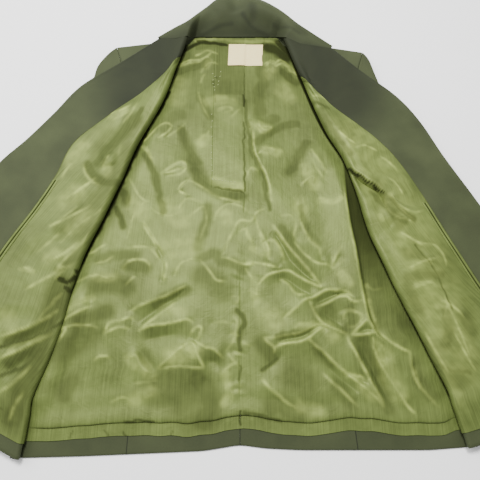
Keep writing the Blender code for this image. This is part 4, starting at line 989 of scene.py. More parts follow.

# %% The two halves of the back lining
# The third column is painted shade under the pleat's folded edge.
JUMP_PLEAT_ROWS = (  # mm up from the lining's edge line, mm above the cloth, darkness
    (18, 0, 0), (20, 0, 0), (22.5, 0, 0), (25, 0, 0), (27.5, 0, 0), (30, 0, 0), (32.5, 0, 0), (35, 0, 0.35),
    (37.5, 0, 0.35), (39.5, 0.1, 0.75), (40.4, 0.5, 0.75), (40, 1, 0.75), (38.5, 1.2, 0.75),
    (36.8, 1.2, 0.75), (35.2, 1.3, 0.35), (34.3, 1.7, 0), (34, 2.2, 0), (34.4, 2.7, 0), (35.4, 3, 0),
    (37, 3.1, 0),
)
PLEAT_COLUMNS = (-0.7, -0.35, 0.0, 0.35, 0.7)  # mm beside the fold of the centre pleat
SEAM_COLUMNS = (0.0, 0.6, 1.3, 2.2, 3.3)  # mm beside the centre seam
JUMP_EDGE_UP, EDGE_SWAY = 34 * MM, 0.9 * MM  # where the pleat's edge lies in the rows, and how it wavers


def back_lining(name, side, front):
    above_pleat = [(up, JUMP_PLEAT_ROWS[-1][1], 0) for up in np.linspace(39, 1000 * NECK_Y - 2, 300)]
    rows = [*JUMP_PLEAT_ROWS, *above_pleat]
    points = np.zeros((len(rows), 150, 3))
    for i, (up, lift, _) in enumerate(rows):
        up, lift = up * MM, lift * MM
        share_up = up / NECK_Y
        edge_y = front[0][1] + share_up * (front[-1][1] - front[0][1])
        side_x = side_at(front, edge_y)
        outer = side * (side_x - LINING_SIDE_INSET)
        first = lining_seam_x(up) + side * SEAM_INSET
        beside_seam = first + side * np.array(SEAM_COLUMNS) * MM
        if side < 0:
            beside_fold = PLEAT_FOLD_X - np.array(PLEAT_COLUMNS) * MM
            x = np.concatenate((
                beside_seam, np.linspace(beside_seam[-1], beside_fold[0], 24)[1:-1], beside_fold,
                np.linspace(beside_fold[-1], outer, 119)[1:],
            ))
        else:
            x = np.concatenate((beside_seam, np.linspace(beside_seam[-1], outer, 146)[1:]))
        y = back_place(side, x / (side * side_x), share_up, front)[1]
        z, open_part = back_lining_height(x, y, np.full_like(x, up), side, front)
        line = rounded(x, *np.array(JUMP_LINE).T) + EDGE_SWAY * slow_noise(x, 0 * x, 17 * MM, 91)
        line = line - hem_at(x) - JUMP_EDGE_UP
        y = y + line * (1 - ease((up - 42 * MM) / (60 * MM)))
        z = z + lift * open_part * (1 - ease((up - 38 * MM) / JUMP_PLEAT_FADE))
        if side < 0:
            z = z + pleat_lift(x, y)
        points[i] = np.stack((x, y, z), axis=1)
    x, y = points[..., 0], points[..., 1]
    hollow = lining_hollow(x, y, side, front)
    crest = np.maximum(BACK_CREST(x, y), strokes(x, y, BACK_LIGHTS))
    # A painted highlight along the crest of the puffed edge.
    if side > 0:
        beside = x - np.interp(y, *np.array(PUFF_EDGE).T) + 4 * MM
        puff_line = np.exp(-(beside / (1.6 * MM)) ** 2) * ease((y - 0.12) / 0.03) * ease((0.37 - y) / 0.05)
        crest = np.maximum(crest, puff_line)
    hollow = np.maximum(hollow, np.array(rows)[:, 2:])
    return lay_cloth(name, points, *LINING, ["back_left_cloth", "back_right_cloth"],
                     hollow=hollow, crest=crest)


for hand, side, front in HANDS:
    back_lining(f"back_lining_{hand}", side, front)

# %% [markdown]
# ## The open fronts
# A front is one cloth that starts at the side seam, runs inward over the back, rolls over,
# and lies open over the sleeve. Its sections are joined smoothly into one surface. The
# lining and the facing are made from that surface, moved out along its normals, so that
# all three follow the same roll. A trough or lip in the surface shows in all of them.

# %% The surface of a front
FRONT_TROUGHS_RIGHT = (  # height in mm, half width in mm, places
    (-2, 24, -300,235, -262,262, -225,270), (-1.6, 20, -335,150, -300,160, -262,155),
    (-1.6, 22, -225,400, -205,430, -165,455), (1.8, 22, -250,330, -222,350, -200,345),
    (-1.4, 20, -360,90, -330,80, -300,60), (-2.6, 18, -166,474, -190,440, -210,410, -216,380),
    (2.6, 14, -192,402, -188,384), (-2.6, 18, -300,128, -276,136, -256,150),
    (-2.2, 16, -302,90, -280,98, -262,112),
)
FRONT_TROUGHS_LEFT = (
    (-2, 16, 185,330, 200,300, 215,285), (-1.8, 18, 215,380, 228,355, 245,335),
    (1.8, 22, 250,250, 270,205, 285,150), (-1.8, 20, 300,190, 318,130, 330,80),
    (-1.6, 20, 170,450, 195,430, 215,405),
)
FRONT_LIPS_LEFT = (  # where the upper part of the open front folds over the lower one
    (3, 30, 6, 26, 142,402, 152,393, 159,380, 172,367, 189,353, 200,345, 207,335, 210,320, 216,303),
)
ROLL_ANGLES = np.arange(-90, 91, 15)
LEG_SHARES = np.linspace(0.12, 0.92, 8)
FLAP_SHARES = np.linspace(0, 1, 81)[1:-1]
FACING_SHARES = np.concatenate((np.linspace(0, 0.94, 31)[1:], (0.96, 0.975, 0.987, 1.0)))
FIRST_LEG = len(SIDE_TURN) - 1
SIDE_SEAM_Z, LEG_START = 0.7 * MM, 3 * MM
ROLL_SWAY = 1.5 * MM  # no roll of cloth is even: it sways by about this much
ROLL_END = len(SIDE_TURN) + len(LEG_SHARES) + len(ROLL_ANGLES) - 1
SEAM_COLUMN = ROLL_END + len(FLAP_SHARES) + 1


def front_surface(side, front, sections, relief, folded_over=()):
    """Middle of the outer cloth of a front: sections by columns from side seam to front edge."""
    at = {name: smooth_at(values, sections) for name, values in columns(front, FRONT_COLUMNS).items()}
    lines = ("side", "fold", "seam", "edge")
    seat = {key: np.stack((at[f"{key}_x"], at[f"{key}_y"]), axis=1) for key in lines}
    leg_z, fold_z, seam_z, edge_z = (at[key] * MM for key in FRONT_COLUMNS[8:])
    sway = ROLL_SWAY * ease(sections / 0.8) * ease((LAST_ROW - sections) / 0.8)
    fold_z = fold_z + sway * slow_noise(0 * sections, at["fold_y"], 34 * MM, 17 + side)
    seat["fold"][:, 0] += 1.2 * sway * slow_noise(0 * sections, at["fold_y"], 52 * MM, 27 + side)
    inward, outward = unit(seat["fold"] - seat["side"]), unit(seat["seam"] - seat["fold"])
    drop = 1 - ease((np.array(sections) - UNDERARM_ROW + 0.6) / 0.6)
    roll = 0.5 * (fold_z - leg_z)
    made = []
    for seam_out, hole_out, share in SIDE_TURN:
        out = (hole_out + (seam_out - hole_out) * drop)[:, None] * MM
        low_z = SIDE_SEAM_Z * drop + leg_z * (1 - drop)
        made.append(np.column_stack((seat["side"] - inward * out, low_z + (leg_z - low_z) * share)))
    leg_start = seat["side"] + inward * LEG_START
    leg_end = seat["fold"] - inward * roll[:, None]
    for share in LEG_SHARES:
        made.append(np.column_stack((leg_start + share * (leg_end - leg_start), leg_z)))
    for angle in np.radians(ROLL_ANGLES):
        turned = ease(0.5 + 0.5 * np.sin(angle))
        away = -inward * (1 - turned) + outward * turned
        place = seat["fold"] + away * (roll * (1 - np.cos(angle)))[:, None]
        made.append(np.column_stack((place, leg_z + roll + roll * np.sin(angle))))
    roll_top = seat["fold"] + outward * roll[:, None]
    for share in (*FLAP_SHARES, 1.0):
        height = seam_z + (fold_z - seam_z) * (1 - ease(share * 0.9) / ease(0.9))
        made.append(np.column_stack((roll_top + share * (seat["seam"] - roll_top), height)))
    for share in FACING_SHARES:
        height = seam_z + (edge_z - seam_z) * share**EDGE_DROP_POWER
        made.append(np.column_stack((seat["seam"] + share * (seat["edge"] - seat["seam"]), height)))
    points = np.array(made).transpose(1, 0, 2)
    points[..., 0] *= side
    weight = np.zeros(points.shape[:2])
    weight[:, ROLL_END:SEAM_COLUMN] = ease(np.linspace(0, 4, SEAM_COLUMN - ROLL_END))
    weight[:, SEAM_COLUMN:] = 1 - ease(1.6 * np.concatenate(([0], FACING_SHARES)))
    points[..., 2] += weight * relief(points[..., 0], points[..., 1])
    weight[:, ROLL_END - 6:ROLL_END] = np.linspace(0, 1, 6, endpoint=False)
    weight[:, ROLL_END:SEAM_COLUMN] = 1
    points[..., 2] += weight * lips(points[..., 0], points[..., 1], folded_over)
    return points


print("facing seam at column", SEAM_COLUMN, "of", SEAM_COLUMN + 1 + len(FACING_SHARES))

# %% Reading a surface
def normals_of(points, side):
    return unit(np.cross(np.gradient(points, axis=1), np.gradient(points, axis=0)) * side)


def up_from_hem(points):
    steps = np.linalg.norm(np.diff(points, axis=0), axis=2)
    return np.vstack((np.zeros(points.shape[1]), np.cumsum(steps, axis=0)))


def at_height(points, ups, wanted):
    """The row of points that lies this far up from the hem, column by column."""
    wanted = np.broadcast_to(wanted, points.shape[1])
    return np.array([read_rows(wanted[j], ups[:, j], points[:, j]) for j in range(points.shape[1])])


def hem_lift(ups):
    return HEM_RETURN * (1 - ease((ups - HEM_TURN_UP - HEM_LIFT_AFTER) / HEM_SETTLE))


def front_relief(table, seed):
    return lambda x, y: wrinkles(x, y, table) + 0.5 * MM * slow_noise(x, y, 55 * MM, seed)


def across_to(grid, places):
    """Reads each row of a grid at its own places, given in columns."""
    low = np.minimum(np.floor(places).astype(int), grid.shape[1] - 2)
    part = (places - low).reshape(places.shape + (1,) * (grid.ndim - 2))
    rows = np.arange(len(grid))[:, None]
    return grid[rows, low] * (1 - part) + grid[rows, low + 1] * part


SECTIONS = np.linspace(0, LAST_ROW, 241)
LOW_END = 0.9  # below this section, the rows of a lining start at its own hem
LOW_SECTIONS = np.linspace(0.25, LOW_END, 16, endpoint=False)
FIRST_ROLL = len(SIDE_TURN) + len(LEG_SHARES)
BORDER_IN_ROLL = FIRST_ROLL + 3  # near the neck the facing covers the roll, down into the gap
BORDER_TURNS = {-1: (8.85, 9.4), 1: (8.65, 9.3)}


def border_at(side, sections):
    """The column where the lining ends and the facing begins."""
    start, end = BORDER_TURNS[side]
    share = ease((np.array(sections) - start) / (end - start))
    return SEAM_COLUMN + (BORDER_IN_ROLL - SEAM_COLUMN) * share


SURFACES = {
    "right": front_surface(-1, RIGHT_FRONT, SECTIONS, front_relief(FRONT_TROUGHS_RIGHT, 71)),
    "left": front_surface(1, LEFT_FRONT, SECTIONS, front_relief(FRONT_TROUGHS_LEFT, 83), FRONT_LIPS_LEFT),
}
print("front surface, sections by columns:", SURFACES["left"].shape[:2])

# %% [markdown]
# ## Fronts: outer cloth, lining and facing
# The outer cloth has its hem turned up inside, and a turned edge at the shoulder seam.
# The lining follows the roll with its own wrinkles, and stops at the facing seam.
# The facing turns down over the front edge by the thickness of the cloth, which gives the
# lapel its thin light rim.

# %% Creases of the front linings
RIGHT_CREASES = (  # height in mm, places
    (2.6, -210,362, -224,347, -240,335), (2.6, -212,319, -239,302, -268,288),
    (2.2, -200,472, -182,477, -168,486), (-1.6, -202,416, -193,428, -183,442),
    (2.4, -202,380, -197,388, -193,398), (-1.6, -227,376, -223,390, -218,395),
    (2.2, -177,456, -166,472, -158,488), (3.2, -314,135, -289,143, -259,157, -242,170),
    (-1.4, -312,121, -273,134, -245,149), (3, -309,107, -285,118, -260,131, -246,139),
    (-1.4, -306,87, -279,102, -256,126), (2.2, -303,66, -284,78, -267,98),
    (2, -289,198, -266,211, -246,223), (1.8, -262,237, -241,248, -223,265), (2, -285,33, -280,51, -272,66),
    (1.5, -232,387, -225,370, -213,356, -203,351), (1.4, -257,323, -237,340, -216,356),
    (1.2, -254,297, -232,318), (1.5, -250,264, -217,297, -190,318), (1.4, -246,232, -225,256, -206,282),
    (1.3, -262,362, -252,384, -238,398), (1.3, -195,460, -180,469, -162,478),
    (1.2, -180,401, -178,410, -176,415), (1.6, -253,220, -239,240, -226,255, -215,269),
    (1.2, -280,251, -263,267, -250,280), (1.3, -302,227, -292,228, -280,220),
    (2, -250,218, -246,227, -235,229, -228,234), (-2, -243,210, -232,203, -225,212),
)
LEFT_CREASES = (
    (2.4, 168,410, 185,415, 205,407), (2.2, 205,400, 221,387, 233,372),
    (2.6, 214,342, 223,323, 245,310, 262,314), (2.8, 207,334, 208,317, 218,303, 246,295),
    (-1.6, 216,335, 235,323, 255,324), (2.6, 229,226, 247,235, 270,242), (2.2, 230,196, 244,203, 260,207),
    (-1.6, 252,105, 261,97, 275,71), (2.4, 241,144, 253,115, 267,86), (2.2, 222,280, 237,271, 255,259),
    (2, 278,144, 289,115, 301,90), (2.2, 267,183, 282,175, 298,159), (2, 213,367, 227,354, 236,335),
    (1.8, 113,520, 128,516, 140,512), (-1.4, 108,492, 123,489, 138,481), (2, 109,503, 127,500, 145,492),
    (2.2, 144,444, 159,427, 173,417), (2, 211,347, 214,331, 225,317, 237,305, 248,298),
    (1.3, 245,268, 258,263, 271,261, 281,246, 283,230), (-1.3, 244,261, 261,232, 274,197, 281,171),
    (2, 271,197, 277,173, 285,149, 292,123, 296,108), (1.2, 223,196, 242,207, 258,207, 271,197),
    (1.2, 268,155, 272,168, 274,177),
)
print(len(RIGHT_CREASES), "creases on the right and", len(LEFT_CREASES), "on the left")

# %% Painted shade and painted highlights of the front linings
# Painted shade: dark strokes in the creases, folds and gaps of the right front lining.
RIGHT_HOLLOWS = (  # darkness or lightness, width in mm, places
    (0.5, 26, -242,205, -249,178, -254,151, -260,118, -269,87, -277,57, -281,35),
    (0.45, 7, -150,478, -160,458), (0.22, 22, -196,436, -212,404, -214,380),
    (0.42, 20, -161,460, -180,433, -196,410, -207,390), (0.42, 13, -179,356, -199,356, -215,370, -224,387),
    (0.25, 16, -252,282, -228,308, -203,329), (0.3, 12, -245,224, -226,244, -207,266),
    (0.25, 30, -172,404, -182,367, -198,323, -215,276), (0.88, 6, -245,213, -235,209, -225,214),
    (0.8, 6, -236,201, -229,195, -225,203), (0.85, 4, -224,225, -222,218, -223,212),
    (0.5, 14, -299,129, -273,139, -251,154, -237,174, -231,191),
    (0.62, 4, -310,122, -291,127, -272,134, -248,145, -233,157),
    (0.58, 6, -304,86, -282,94, -268,104, -257,120), (0.4, 12, -295,101, -274,117),
    (0.45, 2.5, -298,47, -284,46, -271,50), (0.5, 2.5, -295,33, -284,31),
    (0.35, 22, -287,53, -270,81, -256,103),
)
# Painted highlights on the ridges of the right front lining, mixed in through the crest value.
RIGHT_LIGHTS = (
    (0.6, 12, -196,387, -195,373), (0.4, 18, -235,418, -250,392), (0.4, 22, -248,329, -234,340),
    (0.4, 16, -237,282, -216,305), (0.5, 8, -196,466, -173,475), (0.45, 6, -297,117, -281,125, -258,132),
    (0.5, 4, -235,228, -243,222, -250,215), (0.35, 20, -312,162, -302,146),
    (0.5, 5, -302,227, -291,227, -281,222), (0.4, 16, -262,240, -254,247),
    (0.45, 4, -241,191, -257,170, -265,156),
)
# Painted shade on the left front lining.
LEFT_HOLLOWS = (
    (0.97, 2.6, 146,398, 152,392, 159,379, 172,366, 189,352, 200,344, 206,336),
    (0.45, 8, 207,330, 209,318, 216,303, 232,292), (0.6, 4, 102,531, 122,526, 140,516),
    (0.45, 4, 106,493, 120,489, 135,480), (0.3, 14, 195,352, 214,320, 225,290), (0.3, 12, 226,204, 238,170),
    (0.25, 16, 246,124, 259,81), (0.3, 8, 123,478, 143,434, 163,401),
    (0.5, 6, 205,337, 218,322, 235,307, 247,297), (0.45, 7, 189,341, 202,323, 217,308, 234,296),
    (0.48, 2.5, 244,261, 261,232, 274,197, 281,171), (0.36, 12, 227,213, 250,216, 273,218),
    (0.34, 12, 229,249, 242,246, 255,242), (0.34, 12, 272,168, 273,144, 264,123),
    (0.3, 16, 297,160, 304,144), (0.36, 5, 254,98, 270,92, 293,89), (0.3, 20, 265,86, 277,82),
)
# Painted highlights on the left front lining.
LEFT_LIGHTS = (
    (0.5, 12, 223,275, 239,236), (0.4, 16, 207,328, 226,305), (0.4, 18, 246,183, 261,143),
    (0.4, 12, 151,443, 166,409), (0.35, 20, 261,99, 269,63), (0.5, 8, 199,304, 199,296),
    (0.5, 9, 216,337, 227,321), (0.55, 9, 228,225, 245,230, 259,234), (0.5, 16, 241,200, 258,195, 265,177),
    (0.45, 12, 275,160, 285,138, 294,121), (0.35, 18, 213,270, 220,251), (0.4, 9, 268,344, 279,318),
    (0.3, 60, 165,430, 215,330, 250,230, 275,110),
)
SHADES = {-1: (RIGHT_HOLLOWS, RIGHT_LIGHTS), 1: (LEFT_HOLLOWS, LEFT_LIGHTS)}
print(len(RIGHT_HOLLOWS) + len(LEFT_HOLLOWS), "dark strokes")

# %% Outer cloth of a front
HEM_RETURN_ROWS = [(share, 1.0) for share in np.linspace(1.0, 0.045, 12)] + [(0.014, 0.5)]
SHOULDER_TURN = ((0.5, 0.85), (0.9, 0.45), (0.9, 0.0))  # mm past the shoulder, share of height
SHOULDER_LOW_Z = 0.9 * MM
OUTER_ROW_STEP = 3  # the outer cloth is smooth: every third section will do


def front_outer(name, points, normals, ups):
    hem_rows = []
    for share, out in HEM_RETURN_ROWS:
        up = share * HEM_TURN_UP
        row = at_height(points, ups, up) + at_height(normals, ups, up) * out * HEM_RETURN
        row[:FIRST_LEG] = np.nan
        hem_rows.append(row)
    main_rows = points.copy()
    main_rows[0, FIRST_LEG:] = at_height(points, ups, HEM_FOLD)[FIRST_LEG:]
    uphill = points[-1] - points[-4]
    shoulder_rows = []
    for past, share in SHOULDER_TURN:
        row = np.full_like(points[-1], np.nan)
        for j in range(FIRST_LEG - 1, FIRST_LEG + len(LEG_SHARES) + 1):
            row[j, :2] = points[-1, j, :2] + unit(uphill[j, :2]) * past * MM
            row[j, 2] = SHOULDER_LOW_Z + (points[-1, j, 2] - SHOULDER_LOW_Z) * share
        shoulder_rows.append(row)
    main_rows = [main_rows[0], *main_rows[OUTER_ROW_STEP::OUTER_ROW_STEP]]
    rows = np.array(hem_rows + main_rows + shoulder_rows)
    return lay_cloth(name, rows, *OUTER, ["sleeve_left_cloth", "sleeve_right_cloth"], "folded")


# %% Lining of a front
BESIDE_SEAM = 0.3  # the wrinkles keep this share of their height beside the facing seam
FLAP_SLACK, TUCK_HEIGHT = 1.2 * MM, 0.5 * MM  # the lining hangs loose on the open front
FRONT_CRUMPLE, FACING_SEAM_SHADE = 0.7, 0.35


def under_the_roll(points, side):
    """Darkness of the part of a front that lies in the gap under its roll."""
    dark = np.zeros(points.shape[1])
    dark[:FIRST_ROLL] = 1
    dark[FIRST_ROLL:FIRST_ROLL + len(ROLL_ANGLES)] = ease((-35 - ROLL_ANGLES) / 45)
    if side > 0:
        return dark * np.full(points.shape[:2], GAP_SHADE)
    return dark * (0.30 + 0.65 * ease((points[..., 1] - 0.235) / 0.04))


def front_lining(name, side, points, normals, ups, creases, seed):
    first_row = int(np.argmax(SECTIONS >= LOW_END))
    x, y = points[..., 0], points[..., 1]
    on_flap = np.zeros(points.shape[:2])
    across = np.linspace(0, 1, SEAM_COLUMN + 1 - ROLL_END)
    to_seam = BESIDE_SEAM + (1 - BESIDE_SEAM) * ease((1 - across) * 9)
    on_flap[:, ROLL_END:SEAM_COLUMN + 1] = ease(across * 5) * to_seam
    on_flap *= ease((ups - 22 * MM) / (30 * MM))
    rise, crest_at = creases
    relief = FLAP_SLACK + np.maximum(rise(x, y) + FRONT_CRUMPLE * crumple(x, y, seed), -0.4 * MM - FLAP_SLACK)
    tucks = TUCK_HEIGHT * slow_noise(0 * x, ups, 17 * MM, seed + 9)
    roll_part = np.zeros(points.shape[:2])
    roll_part[:, ROLL_END - 8:ROLL_END + 8] = ease(1 - np.abs(np.linspace(-1, 1, 16)))
    lift = LINING_OVER_OUTER + hem_lift(ups) + relief * on_flap + tucks * roll_part
    cloth = points + normals * lift[..., None]
    low_rows = [
        at_height(cloth, ups, LINING_HEM + share * (ups[first_row] - LINING_HEM))
        for share in np.linspace(0, 1, len(LOW_SECTIONS), endpoint=False)
    ]
    whole = np.array([*low_rows, *cloth[first_row:-2], cloth[-1] + (cloth[-9] - cloth[-1]) * 0.05])
    sections = np.concatenate((LOW_SECTIONS, SECTIONS[first_row:-2], SECTIONS[-1:]))
    share = np.linspace(0, 1, SEAM_COLUMN + 1 - FIRST_LEG)
    places = FIRST_LEG + share * (border_at(side, sections)[:, None] - FIRST_LEG)
    x, y = whole[..., 0], whole[..., 1]
    hollows, lights = SHADES[side]
    hollow = np.maximum(under_the_roll(whole, side), strokes(x, y, hollows))
    hollow[:, SEAM_COLUMN - 1:SEAM_COLUMN + 1] = FACING_SEAM_SHADE
    crest = np.maximum(crest_at(x, y), strokes(x, y, lights))
    crest[:, :ROLL_END] = 0
    kept = across_to(whole, places)
    kept[:, -1] += unit(kept[:, -2] - kept[:, -1]) * 0.5 * SEAM_GAP
    lay_cloth(name, kept, *LINING, [f"front_{name.split('_')[-1]}_cloth"], "folded",
              hollow=across_to(hollow, places), crest=across_to(crest, places))
    return whole


# %% Facing of a front
EDGE_TURN = ((0.7, 0.25), (1.1, 0.8), (1.15, 1.5))  # mm out past the edge, mm down
LAPEL_SHADE = 0.66
EDGE_STANDS = 0.5 * MM * np.array((0.3, 0.8, 1.0, 0.7))  # the pressed edge stands up a little


def lapel_shade(x, y):
    """The lapels turn away from the light beside the neck."""
    return LAPEL_SHADE * ease((y - 0.40) / 0.10) * ease((0.26 - np.abs(x)) / 0.09)


def front_facing(name, side, points, normals, ups):
    lift = OUTER_OVER_OUTER + hem_lift(ups)
    cloth = points + normals * lift[..., None]
    cloth[0] = at_height(cloth, ups, HEM_FOLD)
    border = border_at(side, SECTIONS)[::2, None]
    places = border + (cloth.shape[1] - 5 - border) * np.linspace(0, 1, 44)
    edge = np.broadcast_to(np.arange(cloth.shape[1] - 4, cloth.shape[1]), (len(places), 4))
    places = np.concatenate((places, edge), axis=1)
    hollow = np.maximum(under_the_roll(points, side), lapel_shade(points[..., 0], points[..., 1]))
    hollow = across_to(hollow[::2], places)
    hollow = np.pad(hollow, ((0, 2), (0, len(EDGE_TURN))), mode="edge")
    cloth = across_to(cloth[::2], places)
    cloth[:, -4:, 2] += EDGE_STANDS
    cloth[:, 0] += 0.5 * SEAM_GAP * unit(cloth[:, 1] - cloth[:, 0])
    out = unit((cloth[:, -1] - cloth[:, -3]) * LEVEL)
    turned = [cloth[:, -1] + out * past * MM - UP * down * MM for past, down in EDGE_TURN]
    cloth = np.concatenate((cloth, np.array(turned).transpose(1, 0, 2)), axis=1)
    uphill = unit(cloth[-1] - cloth[-3])
    under_collar = [cloth[-1] + uphill * past * MM - UP * 0.4 * past * MM for past in (2, 4)]
    cloth = np.concatenate((cloth, under_collar))
    return lay_cloth(name, cloth, *OUTER, [f"front_{name.split('_')[-1]}_cloth"], hollow=hollow)


# %% Three layers of each front
LINING_SURFACES = {}
for hand, side, table, seed in (("right", -1, RIGHT_CREASES, 101), ("left", 1, LEFT_CREASES, 211)):
    surface = SURFACES[hand]
    from_x, to_x = sorted((0.05 * side, 0.53 * side))
    creases = stretched(table, (from_x, 0.0), (to_x, 0.66), 45 * MM, softened=2)
    normals, ups = normals_of(surface, side), up_from_hem(surface)
    front_outer(f"front_{hand}", surface, normals, ups)
    LINING_SURFACES[hand] = front_lining(f"front_lining_{hand}", side, surface, normals, ups, creases, seed)
    front_facing(f"facing_{hand}", side, surface, normals, ups)

# %% [markdown]
# ## Inside pockets
# Each lining has a breast pocket beside the facing, bound with two narrow welts of lining.
# A welt is a strip folded double round a cord of its own seam allowance, so it stands up in
# two small rounds with a slit between them, darkened with painted shade.

# %% Welts
WELT_SECTIONS, WELT_WIDTH, WELT_OVER_LINING = (3.1, 5.85), 7 * MM, 0.9 * MM
# The third column darkens the slit with painted shade.
WELT_PROFILE = (  # share of the width, mm above the lining, darkness of the slit
    (0.20, 0, 0), (0.26, 0.55, 0), (0.38, 0.95, 0), (0.52, 1.05, 0), (0.64, 0.8, 0), (0.70, 0.2, 0.4),
    (0.74, -0.4, 1), (0.80, -0.6, 1), (0.88, -0.6, 1), (0.94, -0.4, 1), (0.98, 0.1, 0.4), (1.06, 0.5, 0),
    (1.18, 0.6, 0), (1.30, 0.3, 0), (1.38, 0, 0),
)


def pocket_welt(name, side, surface):
    sections = np.concatenate((LOW_SECTIONS, SECTIONS[SECTIONS >= LOW_END][:-2], [LAST_ROW]))
    at = np.linspace(*WELT_SECTIONS, 110)
    place = read_rows(at, sections, surface[:, SEAM_COLUMN])
    inward = unit(read_rows(at, sections, surface[:, SEAM_COLUMN - 12]) - place)
    normal = read_rows(at, sections, normals_of(surface, side)[:, SEAM_COLUMN])
    strips = [
        place + inward * share * WELT_WIDTH + normal * (WELT_OVER_LINING + up * MM)
        for share, up, _ in WELT_PROFILE
    ]
    slit = np.broadcast_to(np.array(WELT_PROFILE)[:, 2], (len(at), len(WELT_PROFILE)))
    lay_cloth(name, np.stack(strips, axis=1), *LINING,
              [f"front_lining_{name.split('_')[-1]}_cloth"], "folded", folds_of_cut=2, hollow=slit)


for hand, side, _ in HANDS:
    pocket_welt(f"welt_{hand}", side, LINING_SURFACES[hand])

# %% [markdown]
# ## Sleeves
# A sleeve is a tube, cut flat and closed with a seam. Here the flat cloth is a grid whose
# last column meets its first, and the two are welded. Nearly all of it lies hidden under the
# open front; only its cap shows behind the lapel, with the armhole seam beside it.

# %% Sleeves
RIGHT_SLEEVE = (  # inner x and y, outer x and y, height in mm, share of the armhole's bow
    (0.2463, 0.408, 0.2003, 0.600, 11.0, 1.0),
    (0.252, 0.392, 0.213, 0.588, 9.5, 0.8),
    (0.253, 0.375, 0.228, 0.566, 8.0, 0.5),
    (0.254, 0.350, 0.236, 0.538, 7.0, 0.2),
    (0.256, 0.315, 0.262, 0.503, 6.0, 0.0),
    (0.259, 0.270, 0.300, 0.420, 5.2, 0.0),
    (0.266, 0.220, 0.338, 0.350, 5.2, 0.0),
    (0.277, 0.170, 0.372, 0.287, 5.2, 0.0),
    (0.294, 0.125, 0.404, 0.226, 5.0, 0.0),
    (0.312, 0.095, 0.430, 0.178, 4.8, 0.0),
    (0.328, 0.078, 0.450, 0.135, 4.6, 0.0),
)
LEFT_SLEEVE = (
    (0.2463, 0.405, 0.1983, 0.590, 11.0, 1.0),
    (0.252, 0.388, 0.207, 0.577, 9.5, 0.8),
    (0.253, 0.370, 0.215, 0.550, 8.0, 0.5),
    (0.254, 0.345, 0.224, 0.522, 7.0, 0.2),
    (0.256, 0.305, 0.243, 0.470, 6.0, 0.0),
    (0.259, 0.258, 0.273, 0.400, 5.2, 0.0),
    (0.266, 0.210, 0.303, 0.338, 5.2, 0.0),
    (0.276, 0.165, 0.333, 0.282, 5.2, 0.0),
    (0.290, 0.120, 0.362, 0.228, 5.0, 0.0),
    (0.304, 0.090, 0.388, 0.178, 4.8, 0.0),
    (0.318, 0.070, 0.412, 0.132, 4.6, 0.0),
)
ARMHOLE_GAP, BODY_GAP = 0.2 * MM, 3.4 * MM
BODY_STEPS = (-0.014, -0.007, 0.0, 0.007, 0.014)  # a sleeve clears the body this far up and down
SLEEVE_ROUND = (54, 18, -18, -54)


def sleeve(name, side, table, front):
    at_front = columns(front, FRONT_COLUMNS)
    hole = np.linspace(UNDERARM_ROW, LAST_ROW, 22)
    hole_x, hole_y = smooth_at(at_front["side_x"], hole), smooth_at(at_front["side_y"], hole)
    hole_z = smooth_at(at_front["leg_z"], hole) * MM
    shares = np.hypot(hole_x - hole_x[0], hole_y - hole_y[0])
    shares = shares / shares[-1]
    bow_x = hole_x - (hole_x[0] + shares * (hole_x[-1] - hole_x[0]))
    bow_y = hole_y - (hole_y[0] + shares * (hole_y[-1] - hole_y[0]))
    low = 0.5 * OUTER_WALL
    rings = []
    for section in np.linspace(0, len(table) - 1, 90):
        row = (smooth_at(values, [section])[0] for values in np.array(table).T)
        inner_x, inner_y, outer_x, outer_y, height, bow = row
        x = inner_x + shares * (outer_x - inner_x) + bow * bow_x
        y = inner_y + shares * (outer_y - inner_y) + bow * bow_y
        high = height * MM - low
        high = high + bow * (hole_z - high)
        across = unit(np.array((outer_x - inner_x, outer_y - inner_y)))
        clear = np.max([side_at(front, y + step * (section > 0)) for step in BODY_STEPS], axis=0)
        x = np.maximum(x, clear + ARMHOLE_GAP + (BODY_GAP - ARMHOLE_GAP) * (1 - bow) * (section > 0))
        ring = [(x[j], y[j], low) for j in range(len(x))]
        for end, ends_at, order in ((-1, across, SLEEVE_ROUND[::-1]), (0, -across, SLEEVE_ROUND)):
            middle, reach = 0.5 * (low + high[end]), 0.5 * (high[end] - low)
            for angle in np.radians(order):
                out = ends_at * reach * math.cos(angle) * (1 - bow)
                ring.append((x[end] + out[0], y[end] + out[1], middle + reach * math.sin(angle)))
            if end == -1:
                ring += [(x[j], y[j], high[j]) for j in range(len(x) - 1, -1, -1)]
        ring.append(ring[0])
        rings.append(ring)
    rings = np.array(rings)
    rings[..., 0] *= side
    return lay_cloth(name, rings, *OUTER, ["table"], "laid", tube=True)


for (hand, side, front), table in zip(HANDS, (RIGHT_SLEEVE, LEFT_SLEEVE)):
    sleeve(f"sleeve_{hand}", side, table, front)

# %% [markdown]
# ## Collar
# The collar lies spread behind the neck, its inner side up, and rolls up gently before its
# outer edge. It is two cloths, the upper and the under collar, joined at the edge: the upper
# one turns down over the under one there. A soft dip shows at its middle.

